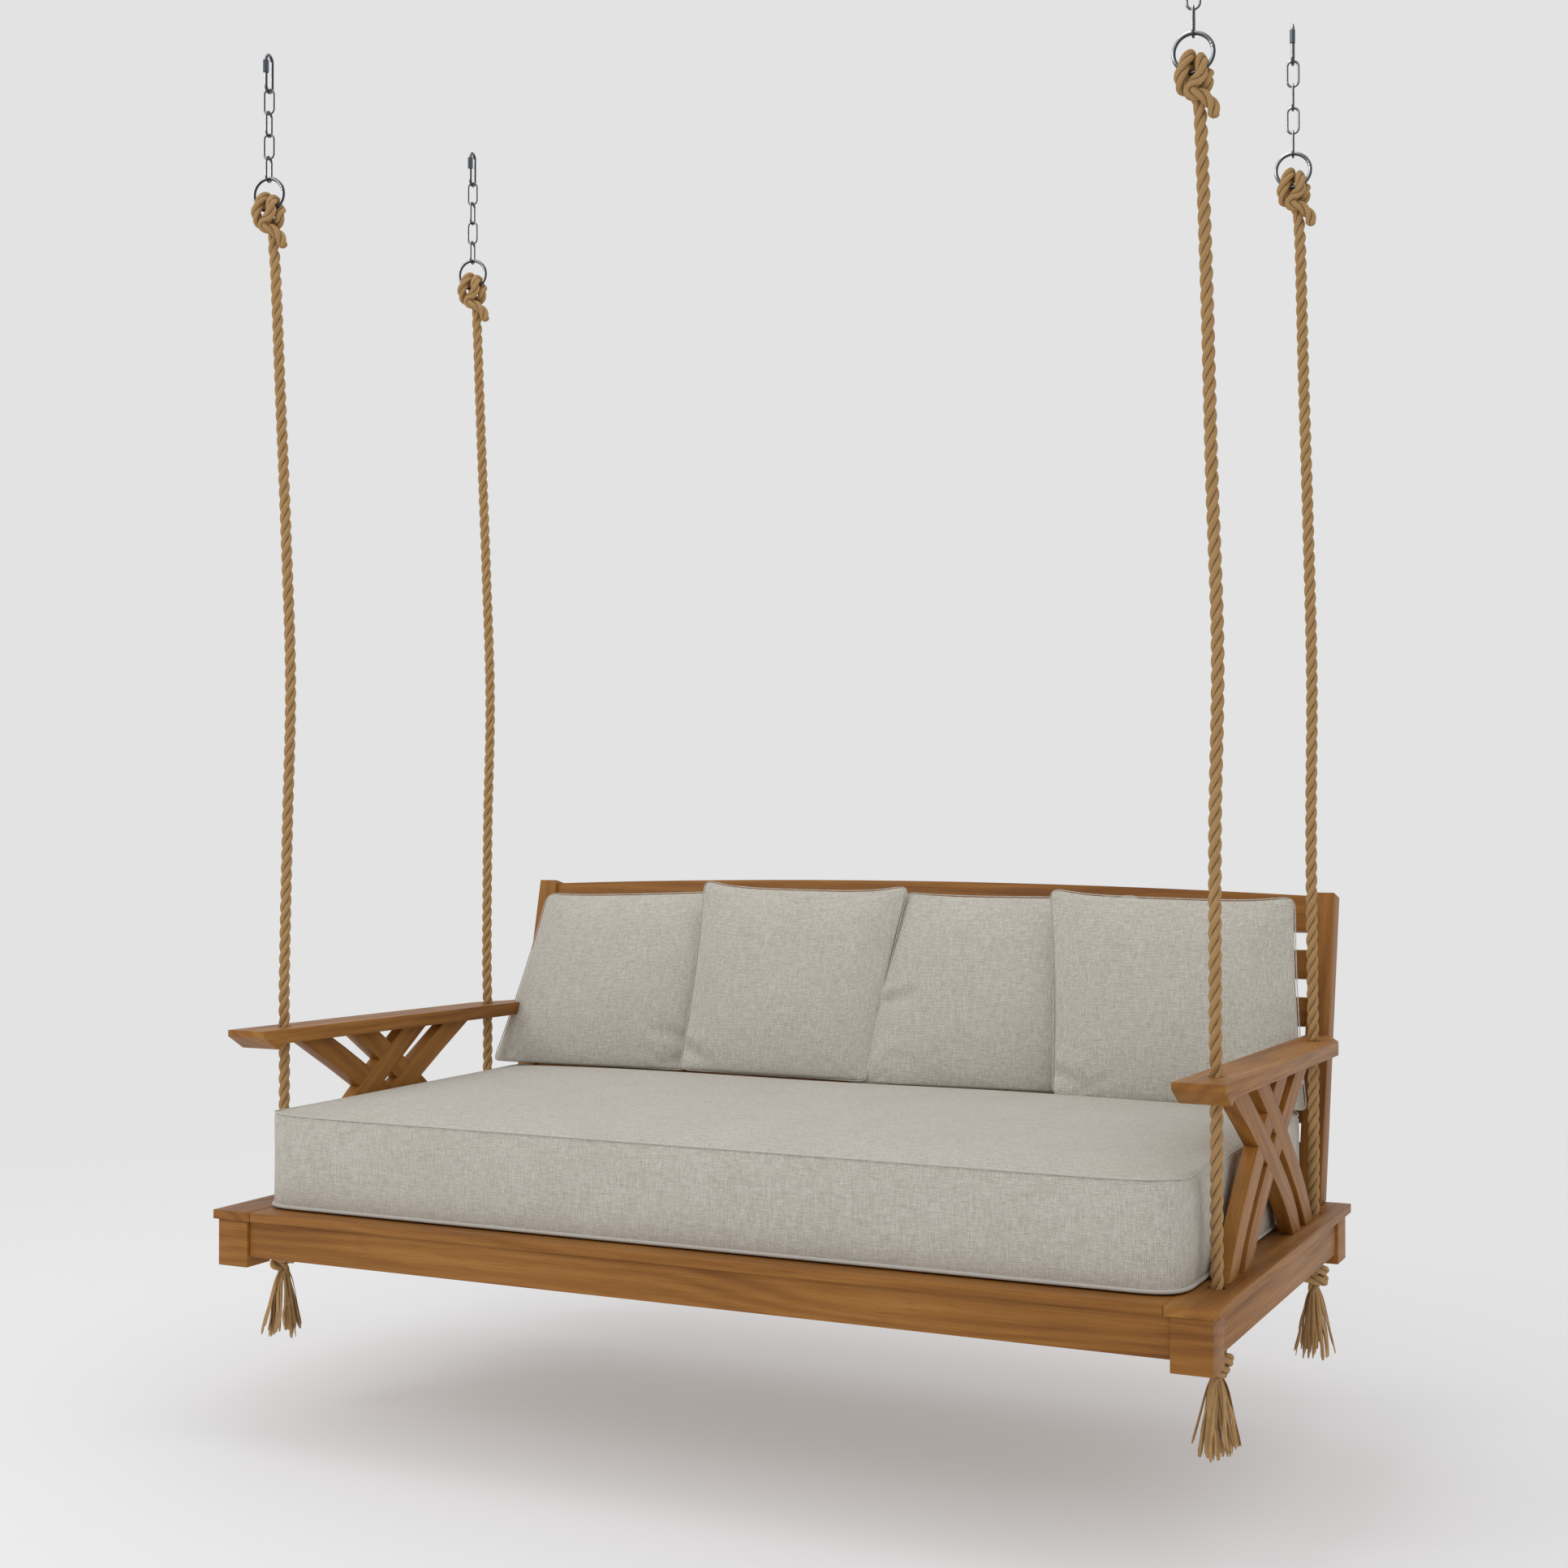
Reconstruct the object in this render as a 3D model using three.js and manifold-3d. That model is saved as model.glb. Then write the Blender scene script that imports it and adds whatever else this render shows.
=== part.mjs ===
// A porch swing: a slatted teak daybed that hangs on four ropes.
//
// Millimetres, +Z up. -Y is the open front, and +X is to the right of someone who faces it. The
// origin is the middle of the four points where the quick links bear on their ceiling hooks, so
// almost everything lies below it. The seat is drawn in a frame of its own, whose origin is the
// middle of the deck's top face, and is then hung in place.

import * as THREE from "three";
import { mergeVertices } from "three/addons/utils/BufferGeometryUtils.js";
import Module from "manifold-3d";

const wasm = await Module();
wasm.setup();

// ---------------------------------------------------------------- driving dimensions

const GAP = 0.4; // between pieces that touch
const OVERLAP = 0.2; // between pieces that are joined into one

// deck
const DECK_LENGTH = 2134;
const DECK_DEPTH = 1102;
const BOARD_THICKNESS = 19;
const BOARD_WIDTH = 96;

// corner blocks, aprons and side beams under the deck
const BLOCK_SIDE = 75;
const BLOCK_HEIGHT = 96;
const BLOCK_INSET_X = 11; // from the deck's side edge
const BLOCK_INSET_Y = 5; // from the deck's front or rear edge
const APRON_HEIGHT = 75;
const APRON_THICKNESS = 24;
const APRON_RECESS = 7; // behind the blocks' outer faces
const BEAM_THICKNESS = 62;
const BEAM_RECESS = 6;

// slatted panel that carries the cushion
const PANEL_SLATS = 15;
const PANEL_SLAT_WIDTH = 90;
const BATTEN_WIDTH = 45;
const BATTEN_HEIGHT = 38;
const BATTENS = 3;

// back
const RECLINE = THREE.MathUtils.degToRad(13);
const POST_WIDTH = 50;
const POST_DEPTH = 55;
const POST_LENGTH = 674; // along the slope
const POST_INSET = 52; // from the deck's side edge
const RAIL_HEIGHT = 78;
const RAIL_THICKNESS = 27;
const RAIL_RECESS = 8; // behind the posts' front faces
const RAIL_DROP = 7; // of the rail's ends below the posts' tops
const RAIL_ARCH = 20; // rise of the rail's middle
const ARCH_STEPS = 16;
const BACK_SLATS = 5;
const BACK_SLAT_HEIGHT = 63;
const BACK_SLAT_GAP = 41;
const BACK_SLAT_THICKNESS = 18;
const BACK_SLAT_RECESS = 12;

// arms
const ARM_WIDTH = 95;
const ARM_THICKNESS = 30;
const ARM_HEIGHT = 371; // of the front top edge over the deck
const ARM_FALL = THREE.MathUtils.degToRad(0.9); // towards the back
const ARM_SETBACK = 46; // of the arm's front behind the deck's front
const NOSE_LIP = 13; // upright band at the front edge
const NOSE_DEPTH = 41; // greatest thickness, under the bevel
const BEVEL_RUN = 47; // how far back the undercut bevel reaches
const COVE_FLAT = 6;
const COVE_RUN = 34;
const COVE_STEPS = 4;
const TAPER_RUN = 150; // length of the slanted rear outer corner

// braces under the arms: four curved bars, halved into each other
const BRACE_WIDTH = 52;
const BRACE_THICKNESS = 28;
const BRACE_SHIFT = -25; // of each set of four, from the middle of the two rope holes
const TOP_INSET = 106; // of the widest tops, inside the rope holes
const TOP_SPACING = 178; // between the tops of two braces that lean the same way
const FOOT_INSET = 86;
const FOOT_SPACING = 109;
const KNEE_BACK = 63; // of the curve's control point behind its foot
const KNEE_HEIGHT = 106;
const BRACE_STEPS = 8;

// cushion and pillows
const CUSHION_SIDE_MARGIN = 78; // inside the deck's side edges
const CUSHION_SETBACK = 52; // behind the deck's front edge
const CUSHION_REAR_GAP = 8; // in front of the posts' feet
const CUSHION_LIFT = 3;
const CUSHION_THICKNESS = 194;
const CUSHION_CORNER = 55;
const CUSHION_CORNER_STEPS = 3;
const CUSHION_EDGE = 9;
const PILLOW_WIDTH = 552;
const PILLOW_HEIGHT = 480;
const PILLOW_THICKNESS = 126;
const PILLOW_EDGE = 8; // thickness at the knife edge
const PILLOW_WAIST = 22; // how far each edge bows in between its corners
const PILLOW_LEAN = THREE.MathUtils.degToRad(20);
const PILLOW_CLEAR = 4;
const PILLOW_CELLS = 8;
const PILLOW_FILL_POWER = 0.8; // shape of its swell from the edge to the middle
// each pillow: the end of the cushion that it keeps to, the distance from there to its middle, how
// far its bottom edge stands in front of the posts, and its turn about the vertical in degrees,
// which lays the left edge over the neighbour
const PILLOWS = [
  { end: -1, inset: 297, forward: 92, turn: 0 },
  { end: -1, inset: 783, forward: 138, turn: 3 },
  { end: 1, inset: 661, forward: 92, turn: 3 },
  { end: 1, inset: 283, forward: 148, turn: 5 },
];

// hanging gear
const HOOK_SPREAD = 6; // of the hook points, from the middle, beyond the rope holes
const ROPE_SETBACK_FRONT = 172; // rope holes behind the deck's front edge
const ROPE_SETBACK_REAR = 142; // rope holes in front of its rear edge
const SEAT_SHIFT = 43; // of the seat's middle towards +X from the hooks' middle
const SEAT_DROP = 2477; // deck's top below the hooks
const GEAR_TURN = THREE.MathUtils.degToRad(10); // of links and rings about the vertical
const QUICK_LENGTH = 88;
const QUICK_WIDTH = 34;
const QUICK_WIRE = 7;
const QUICK_MOUTH = 11; // opening that the nut closes
const NUT_FLATS = 11;
const NUT_LENGTH = 28;
const NUT_CLEAR = 0.3;
const CHAIN_LINKS = 4;
const CHAIN_LENGTH = 59;
const CHAIN_WIDTH = 28;
const CHAIN_WIRE = 5;
const RING_DIAMETER = 78;
const RING_WIRE = 8;
const RING_SEGMENTS = 18;
const WIRE_SIDES = 6;
const QUICK_SEGMENTS = 16;
const CHAIN_SEGMENTS = 10;
const CHAIN_SIDES = 6;

// ropes
const ROPE_DIAMETER = 23;
const ROPE_HOLE_PLAY = 7; // of a rope in its hole
const HOLE_SIDES = 16;
const ROPE_SIDES = 8;
const ROPE_STEP = 66; // between rings of the tube
const PIVOT_DROP = 9; // below the arm's top, where the ropes bend as the seat swings
const SWING_LIMIT = THREE.MathUtils.degToRad(15);
const ROPE_IN_HOLE = 10; // how far the swinging stretch reaches below that height
const TOP_KNOT_WIDTH = 74;
const TOP_KNOT_DEPTH = 56;
const TOP_KNOT_HEIGHT = 92;
const TOP_KNOT_RISE = 34; // of the knot's top over the ring's lowest wire
const TOP_TAIL_DROP = 78; // of the tail's end below the ring's lowest wire
const TOP_TAIL_REACH = 32; // of the tail beyond the ring's middle
const TOP_KNOT_OFFSET = 13; // of the rope's entry into the knot, from under the ring
const BOTTOM_KNOT_WIDTH = 60;
const BOTTOM_KNOT_HEIGHT = 58;
const TASSEL_END = 300; // below the deck's top
const TASSEL_TOP_WIDTH = 30;
const TASSEL_END_WIDTH = 80;
const KNOT_SEGMENTS = 10;
const KNOT_RINGS = 6;
// sideways places of a hanging rope over its hole, from the arm up to the knot: height over the
// deck, and the distance from the straight line between its two ends
const ROPE_BOWS = {
  front_left: [[480, 3], [800, 19], [1110, 35], [1430, 31], [1750, 23], [2000, 17]],
  front_right: [[480, 1], [800, 8], [1110, 20], [1430, 17], [1750, 16], [2000, 13]],
  rear_left: [[480, 1], [800, 12], [1110, 27], [1430, 24], [1750, 18], [2000, 14]],
  rear_right: [[480, 1], [800, 6], [1110, 15], [1430, 15], [1750, 13], [2000, 13]],
};

// ---------------------------------------------------------------- worked-out places

const halfLength = DECK_LENGTH / 2;
const halfDepth = DECK_DEPTH / 2;
const underBoards = -BOARD_THICKNESS - GAP;
const holeX = halfLength - BOARD_WIDTH / 2;
const hookX = holeX + HOOK_SPREAD;
const holeY = {
  front: -halfDepth + ROPE_SETBACK_FRONT,
  rear: halfDepth - ROPE_SETBACK_REAR,
};
const holesMiddle = (holeY.rear + holeY.front) / 2;
const holesHalfSpan = (holeY.rear - holeY.front) / 2;
const seatPlace = new THREE.Vector3(
  SEAT_SHIFT,
  -holesMiddle,
  -SEAT_DROP,
);
const blockOuterX = halfLength - BLOCK_INSET_X;
const blockOuterY = halfDepth - BLOCK_INSET_Y;
const beamOuterX = blockOuterX - BEAM_RECESS;
const beamBottom = underBoards - APRON_HEIGHT;
const postOuterX = halfLength - POST_INSET;
const postInnerX = postOuterX - POST_WIDTH;
const postFootY = halfDepth - POST_DEPTH / Math.cos(RECLINE);
const armFrontY = -halfDepth + ARM_SETBACK;
const pivotHeight = ARM_HEIGHT - PIVOT_DROP;
const braceCentre = holesMiddle + BRACE_SHIFT;
const cushionHalfLength = halfLength - CUSHION_SIDE_MARGIN;

const ropeAt = {
  front_left: [-1, "front"],
  front_right: [1, "front"],
  rear_left: [-1, "rear"],
  rear_right: [1, "rear"],
};

// Heights in the hook frame, from the hook's bearing point down.
const quickTopBar = QUICK_WIRE / 2;
const quickBottomBar = quickTopBar - (QUICK_LENGTH - QUICK_WIRE);
const firstLinkBar = quickBottomBar + (QUICK_WIRE + CHAIN_WIRE) / 2 + GAP;
const chainCentreLength = CHAIN_LENGTH - CHAIN_WIRE;
const chainPitch = chainCentreLength - CHAIN_WIRE + OVERLAP;
const lastLinkBar = firstLinkBar - (CHAIN_LINKS - 1) * chainPitch - chainCentreLength;
const ringRadius = (RING_DIAMETER - RING_WIRE) / 2;
const ringCentre = lastLinkBar + (RING_WIRE + CHAIN_WIRE) / 2 + GAP - ringRadius;
const ringLowWire = ringCentre - ringRadius;

// Top of an arm over the deck at a place along its depth.
const armTop = (y) => ARM_HEIGHT - (y - armFrontY) * Math.tan(ARM_FALL);
// Front face of the back posts at a height over the deck.
const postFront = (z) => postFootY + z * Math.tan(RECLINE);

// ---------------------------------------------------------------- materials

const teak = () =>
  new THREE.MeshStandardMaterial({ color: 0xa4672f, roughness: 0.55, metalness: 0 });
const linen = () =>
  new THREE.MeshStandardMaterial({ color: 0xc4beb2, roughness: 0.95, metalness: 0 });
const ropeFibre = () =>
  new THREE.MeshStandardMaterial({ color: 0xa98246, roughness: 0.9, metalness: 0 });
const steel = () =>
  new THREE.MeshStandardMaterial({ color: 0xb4b8bc, roughness: 0.25, metalness: 1 });
const darkSteel = () =>
  new THREE.MeshStandardMaterial({ color: 0x4a4e54, roughness: 0.4, metalness: 1 });

// ---------------------------------------------------------------- geometry helpers

// A closed geometry as a solid that can be cut and joined.
function solid(geometry) {
  const bare = geometry.clone();
  bare.deleteAttribute("normal");
  bare.deleteAttribute("uv");
  const merged = mergeVertices(bare, 1e-3);
  return new wasm.Manifold(
    new wasm.Mesh({
      numProp: 3,
      vertProperties: new Float32Array(merged.attributes.position.array),
      triVerts: new Uint32Array(merged.index.array),
    }),
  );
}

// A cut or joined solid as a geometry.
function geometryOf(made) {
  const mesh = made.getMesh();
  const geometry = new THREE.BufferGeometry();
  geometry.setAttribute("position", new THREE.BufferAttribute(mesh.vertProperties, 3));
  geometry.setIndex(new THREE.BufferAttribute(mesh.triVerts, 1));
  geometry.computeVertexNormals();
  return geometry;
}

// A box between two corners.
function box([x0, y0, z0], [x1, y1, z1]) {
  const geometry = new THREE.BoxGeometry(x1 - x0, y1 - y0, z1 - z0);
  return geometry.translate((x0 + x1) / 2, (y0 + y1) / 2, (z0 + z1) / 2);
}

function cylinder(radius, z0, z1, sides) {
  const geometry = new THREE.CylinderGeometry(radius, radius, z1 - z0, sides);
  return geometry.rotateX(Math.PI / 2).translate(0, 0, (z0 + z1) / 2);
}

// A side view, drawn as (y, z) points, given a width from x0 to x1.
function sideView(points, x0, x1) {
  const shape = new THREE.Shape(points.map(([y, z]) => new THREE.Vector2(y, z)));
  const geometry = new THREE.ExtrudeGeometry(shape, { depth: x1 - x0, bevelEnabled: false });
  // the drawing's (x, y) become (Y, Z), and its depth becomes X
  geometry.applyMatrix4(new THREE.Matrix4().set(0, 0, 1, x0, 1, 0, 0, 0, 0, 1, 0, 0, 0, 0, 0, 1));
  return geometry;
}

// A front view, drawn as (x, z) points, given a depth from y0 to y1.
function frontView(points, y0, y1) {
  const shape = new THREE.Shape(points.map(([x, z]) => new THREE.Vector2(x, z)));
  const geometry = new THREE.ExtrudeGeometry(shape, { depth: y1 - y0, bevelEnabled: false });
  // the drawing's depth runs towards -Y once it stands up
  return geometry.rotateX(Math.PI / 2).translate(0, y1, 0);
}

// A round bar bent into a closed link: a torus whose halves are moved apart along Z.
function link(length, width, wire, segments, sides) {
  const radius = (width - wire) / 2;
  const leg = length - width;
  const geometry = new THREE.TorusGeometry(radius, wire / 2, sides, segments);
  geometry.rotateX(Math.PI / 2).rotateY(Math.PI / segments);
  const place = geometry.attributes.position;
  for (let i = 0; i < place.count; i++) {
    place.setZ(i, place.getZ(i) + (Math.sign(place.getZ(i)) * leg) / 2);
  }
  return geometry;
}

// A round tube through points, with closed ends.
function tube(points, diameter, sides, steps) {
  const section = new THREE.Shape();
  section.absarc(0, 0, diameter / 2, 0, 2 * Math.PI);
  const path = new THREE.CatmullRomCurve3(points);
  return new THREE.ExtrudeGeometry(section, {
    steps,
    curveSegments: sides / 2,
    extrudePath: path,
  });
}

// A knot or tassel: a closed outline turned about the vertical.
function turned(profile, segments) {
  const outline = profile.map(([radius, z]) => new THREE.Vector2(radius, z));
  return new THREE.LatheGeometry(outline, segments).rotateX(Math.PI / 2);
}

function piece(name, geometry, material) {
  const mesh = new THREE.Mesh(geometry, material);
  mesh.name = name;
  return mesh;
}

// ---------------------------------------------------------------- deck

function sideBoard(side) {
  const inner = side * (halfLength - BOARD_WIDTH);
  const outer = side * halfLength;
  const board = solid(
    box(
      [Math.min(inner, outer), -halfDepth, -BOARD_THICKNESS],
      [Math.max(inner, outer), halfDepth, 0],
    ),
  );
  return geometryOf(drilled(board, side, -BOARD_THICKNESS, 0));
}

// Two rope holes through a piece between two heights.
function drilled(body, side, low, high) {
  let result = body;
  const holeRadius = (ROPE_DIAMETER + ROPE_HOLE_PLAY) / 2;
  for (const y of Object.values(holeY)) {
    const hole = cylinder(holeRadius, low - BLOCK_SIDE, high + BLOCK_SIDE, HOLE_SIDES);
    result = result.subtract(solid(hole.translate(side * holeX, y, 0)));
  }
  return result;
}

function crossBoard(end) {
  const reach = halfLength - BOARD_WIDTH - GAP;
  const outer = end * halfDepth;
  const inner = end * (halfDepth - BOARD_WIDTH);
  return box(
    [-reach, Math.min(inner, outer), -BOARD_THICKNESS],
    [reach, Math.max(inner, outer), 0],
  );
}

function cornerBlock(side, end) {
  const x = [side * blockOuterX, side * (blockOuterX - BLOCK_SIDE)].sort((a, b) => a - b);
  const y = [end * blockOuterY, end * (blockOuterY - BLOCK_SIDE)].sort((a, b) => a - b);
  return box([x[0], y[0], underBoards - BLOCK_HEIGHT], [x[1], y[1], underBoards]);
}

function apron(end) {
  const reach = blockOuterX - BLOCK_SIDE - GAP;
  const outer = end * (blockOuterY - APRON_RECESS);
  const inner = end * (blockOuterY - APRON_RECESS - APRON_THICKNESS);
  return box(
    [-reach, Math.min(inner, outer), beamBottom],
    [reach, Math.max(inner, outer), underBoards],
  );
}

function sideBeam(side) {
  const reach = blockOuterY - BLOCK_SIDE - GAP;
  const outer = side * beamOuterX;
  const inner = side * (beamOuterX - BEAM_THICKNESS);
  const beam = solid(
    box(
      [Math.min(inner, outer), -reach, beamBottom],
      [Math.max(inner, outer), reach, underBoards],
    ),
  );
  return geometryOf(drilled(beam, side, beamBottom, underBoards));
}

// Slats from front to rear on battens, joined into one panel.
function slatPanel() {
  const reachX = halfLength - BOARD_WIDTH - GAP;
  const reachY = halfDepth - BOARD_WIDTH - GAP;
  const pitch = (2 * reachX - PANEL_SLAT_WIDTH) / (PANEL_SLATS - 1);
  let panel = null;
  const join = (geometry) => {
    panel = panel ? panel.add(solid(geometry)) : solid(geometry);
  };
  for (let i = 0; i < BATTENS; i++) {
    const spread = reachY - BATTEN_WIDTH / 2;
    const y = BATTENS > 1 ? -spread + (2 * spread * i) / (BATTENS - 1) : 0;
    const beamClear = beamOuterX - BEAM_THICKNESS - GAP;
    const reach = Math.min(reachX, beamClear);
    join(
      box(
        [-reach, y - BATTEN_WIDTH / 2, -BOARD_THICKNESS - BATTEN_HEIGHT],
        [reach, y + BATTEN_WIDTH / 2, -BOARD_THICKNESS + OVERLAP],
      ),
    );
  }
  for (let i = 0; i < PANEL_SLATS; i++) {
    const x = -reachX + i * pitch;
    join(box([x, -reachY, -BOARD_THICKNESS], [x + PANEL_SLAT_WIDTH, reachY, 0]));
  }
  return geometryOf(panel);
}

function deckPieces() {
  const pieces = [
    piece("deck_board_front", crossBoard(-1), teak()),
    piece("deck_board_rear", crossBoard(1), teak()),
    piece("apron_front", apron(-1), teak()),
    piece("apron_rear", apron(1), teak()),
    piece("seat_slat_panel", slatPanel(), teak()),
  ];
  for (const [hand, side] of [["left", -1], ["right", 1]]) {
    pieces.push(piece("deck_board_" + hand, sideBoard(side), teak()));
    pieces.push(piece("side_beam_" + hand, sideBeam(side), teak()));
    pieces.push(piece("corner_block_front_" + hand, cornerBlock(side, -1), teak()));
    pieces.push(piece("corner_block_rear_" + hand, cornerBlock(side, 1), teak()));
  }
  return pieces;
}

// ---------------------------------------------------------------- back

// A post as seen from the side: its foot is level, and its head is square to its length.
function backPost(side) {
  const lean = ([across, along]) => [
    postFootY + along * Math.sin(RECLINE) + across * Math.cos(RECLINE),
    along * Math.cos(RECLINE) - across * Math.sin(RECLINE),
  ];
  const outline = [
    [postFront(GAP), GAP],
    [postFront(GAP) + POST_DEPTH / Math.cos(RECLINE), GAP],
    lean([POST_DEPTH, POST_LENGTH]),
    lean([0, POST_LENGTH]),
  ];
  const x = [side * postOuterX, side * postInnerX].sort((a, b) => a - b);
  return sideView(outline, x[0], x[1]);
}

// Rail and slats are drawn upright and tipped back with their group.
function topRail() {
  const reach = postInnerX - GAP;
  const top = POST_LENGTH - RAIL_DROP;
  const outline = [
    [-reach, top - RAIL_HEIGHT],
    [reach, top - RAIL_HEIGHT],
  ];
  for (let i = 0; i <= ARCH_STEPS; i++) {
    const share = 1 - (2 * i) / ARCH_STEPS;
    outline.push([share * reach, top + RAIL_ARCH * (1 - share * share)]);
  }
  return frontView(outline, RAIL_RECESS, RAIL_RECESS + RAIL_THICKNESS);
}

function backSlat(index) {
  const reach = postInnerX - GAP;
  const railBottom = POST_LENGTH - RAIL_DROP - RAIL_HEIGHT;
  const top = railBottom - BACK_SLAT_GAP - index * (BACK_SLAT_HEIGHT + BACK_SLAT_GAP);
  return box(
    [-reach, BACK_SLAT_RECESS, top - BACK_SLAT_HEIGHT],
    [reach, BACK_SLAT_RECESS + BACK_SLAT_THICKNESS, top],
  );
}

function backPieces() {
  const tipped = new THREE.Group();
  tipped.position.set(0, postFootY, 0);
  tipped.rotation.x = -RECLINE;
  tipped.add(piece("back_top_rail", topRail(), teak()));
  for (let i = 0; i < BACK_SLATS; i++) {
    tipped.add(piece("back_slat_" + (i + 1), backSlat(i), teak()));
  }
  return [
    piece("back_post_left", backPost(-1), teak()),
    piece("back_post_right", backPost(1), teak()),
    tipped,
  ];
}

// ---------------------------------------------------------------- arms and braces

// The arm from the side: a bevel under the front edge, then a cove up to the plain underside.
function armOutline() {
  const rearTop = armTop(halfDepth);
  const rearY = (z) => postFront(z) - GAP;
  const bottom = (y) => armTop(y) - ARM_THICKNESS;
  const bevelEnd = armFrontY + BEVEL_RUN;
  const coveStart = bevelEnd + COVE_FLAT;
  const points = [
    [armFrontY, armTop(armFrontY)],
    [armFrontY, armTop(armFrontY) - NOSE_LIP],
    [bevelEnd, armTop(bevelEnd) - NOSE_DEPTH],
  ];
  for (let i = 0; i <= COVE_STEPS; i++) {
    const turn = (i / COVE_STEPS) * (Math.PI / 2);
    const y = coveStart + COVE_RUN * (1 - Math.cos(turn));
    const rise = (NOSE_DEPTH - ARM_THICKNESS) * Math.sin(turn);
    points.push([y, armTop(y) - NOSE_DEPTH + rise]);
  }
  const rearBottom = bottom(halfDepth);
  points.push([rearY(rearBottom), bottom(rearY(rearBottom))]);
  points.push([rearY(rearTop), armTop(rearY(rearTop))]);
  return points;
}

function arm(side) {
  const x = [side * halfLength, side * (halfLength - ARM_WIDTH)].sort((a, b) => a - b);
  const bar = solid(sideView(armOutline(), x[0], x[1]));
  const rearY = postFront(ARM_HEIGHT) + POST_DEPTH;
  const taperEndY = postFront(armTop(halfDepth));
  // a wedge that takes off the rear outer corner
  const corner = new THREE.Shape([
    new THREE.Vector2(halfLength + POST_INSET, taperEndY - TAPER_RUN * 2),
    new THREE.Vector2(halfLength + POST_INSET, rearY),
    new THREE.Vector2(postOuterX, rearY),
    new THREE.Vector2(postOuterX, taperEndY),
    new THREE.Vector2(halfLength, taperEndY - TAPER_RUN),
  ]);
  const wedge = new THREE.ExtrudeGeometry(corner, { depth: 2 * ARM_HEIGHT, bevelEnabled: false });
  const cut = solid(wedge);
  const sided = side > 0 ? cut : cut.mirror([1, 0, 0]);
  return geometryOf(drilled(bar.subtract(sided), side, 0, ARM_HEIGHT));
}

// One brace's band in the side view: a curve from under the arm to the deck, with a width.
function braceBand(top, foot, width) {
  const direction = Math.sign(foot - top);
  const reachUp = KNEE_HEIGHT;
  const knee = new THREE.Vector2(foot - direction * KNEE_BACK, KNEE_HEIGHT);
  const start = new THREE.Vector2(top, ARM_HEIGHT - ARM_THICKNESS);
  const end = new THREE.Vector2(foot, 0);
  const upward = start.clone().sub(knee).normalize();
  const downward = end.clone().sub(knee).normalize();
  const curve = new THREE.QuadraticBezierCurve(start, knee, end);
  const middle = curve.getPoints(BRACE_STEPS);
  middle.unshift(start.clone().addScaledVector(upward, reachUp));
  middle.push(end.clone().addScaledVector(downward, reachUp));
  const edge = (hand) =>
    middle.map((point, i) => {
      const before = middle[Math.max(i - 1, 0)];
      const after = middle[Math.min(i + 1, middle.length - 1)];
      const along = after.clone().sub(before).normalize();
      return [
        braceCentre + point.x - (hand * along.y * width) / 2,
        point.y + (hand * along.x * width) / 2,
      ];
    });
  return [...edge(1), ...edge(-1).reverse()];
}

// A closed outline that runs anticlockwise, as shapes need.
function braceSolid(outline, x0, x1) {
  const area = THREE.ShapeUtils.area(outline.map(([y, z]) => new THREE.Vector2(y, z)));
  return solid(sideView(area > 0 ? outline : outline.slice().reverse(), x0, x1));
}

// Tops and feet from the middle of the set of four.
const wideTop = holesHalfSpan - TOP_INSET;
const narrowTop = wideTop - TOP_SPACING;
const wideFoot = holesHalfSpan - FOOT_INSET;
const narrowFoot = wideFoot - FOOT_SPACING;
const BRACES = [
  { top: -wideTop, foot: narrowFoot, onOuterFace: true },
  { top: -narrowTop, foot: wideFoot, onOuterFace: true },
  { top: narrowTop, foot: -wideFoot, onOuterFace: false },
  { top: wideTop, foot: -narrowFoot, onOuterFace: false },
];

// Braces that start at the front pass outside; those that start at the rear pass inside.
function brace(side, index) {
  const own = BRACES[index];
  const centre = side * holeX;
  const half = BRACE_THICKNESS / 2;
  const underArm = sideView(
    [
      [-halfDepth, GAP],
      [halfDepth, GAP],
      [halfDepth, armTop(halfDepth) - ARM_THICKNESS - GAP],
      [-halfDepth, armTop(-halfDepth) - ARM_THICKNESS - GAP],
    ],
    centre - BRACE_THICKNESS,
    centre + BRACE_THICKNESS,
  );
  let bar = braceSolid(braceBand(own.top, own.foot, BRACE_WIDTH), centre - half, centre + half);
  bar = bar.intersect(solid(underArm));
  // the halving joint takes away the half on which the other brace passes
  const awayFrom = own.onOuterFace ? -side : side;
  const cutEdges = [centre - (awayFrom * GAP) / 2, centre + awayFrom * BRACE_THICKNESS];
  cutEdges.sort((a, b) => a - b);
  for (const other of BRACES.filter((b) => b.onOuterFace !== own.onOuterFace)) {
    const band = braceBand(other.top, other.foot, BRACE_WIDTH + 2 * GAP);
    bar = bar.subtract(braceSolid(band, cutEdges[0], cutEdges[1]));
  }
  return geometryOf(bar);
}

function armPieces() {
  const pieces = [];
  for (const [hand, side] of [["left", -1], ["right", 1]]) {
    pieces.push(piece("arm_" + hand, arm(side), teak()));
    for (let i = 0; i < BRACES.length; i++) {
      pieces.push(piece("arm_brace_" + hand + "_" + (i + 1), brace(side, i), teak()));
    }
  }
  return pieces;
}

// ---------------------------------------------------------------- cushion and pillows

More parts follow.
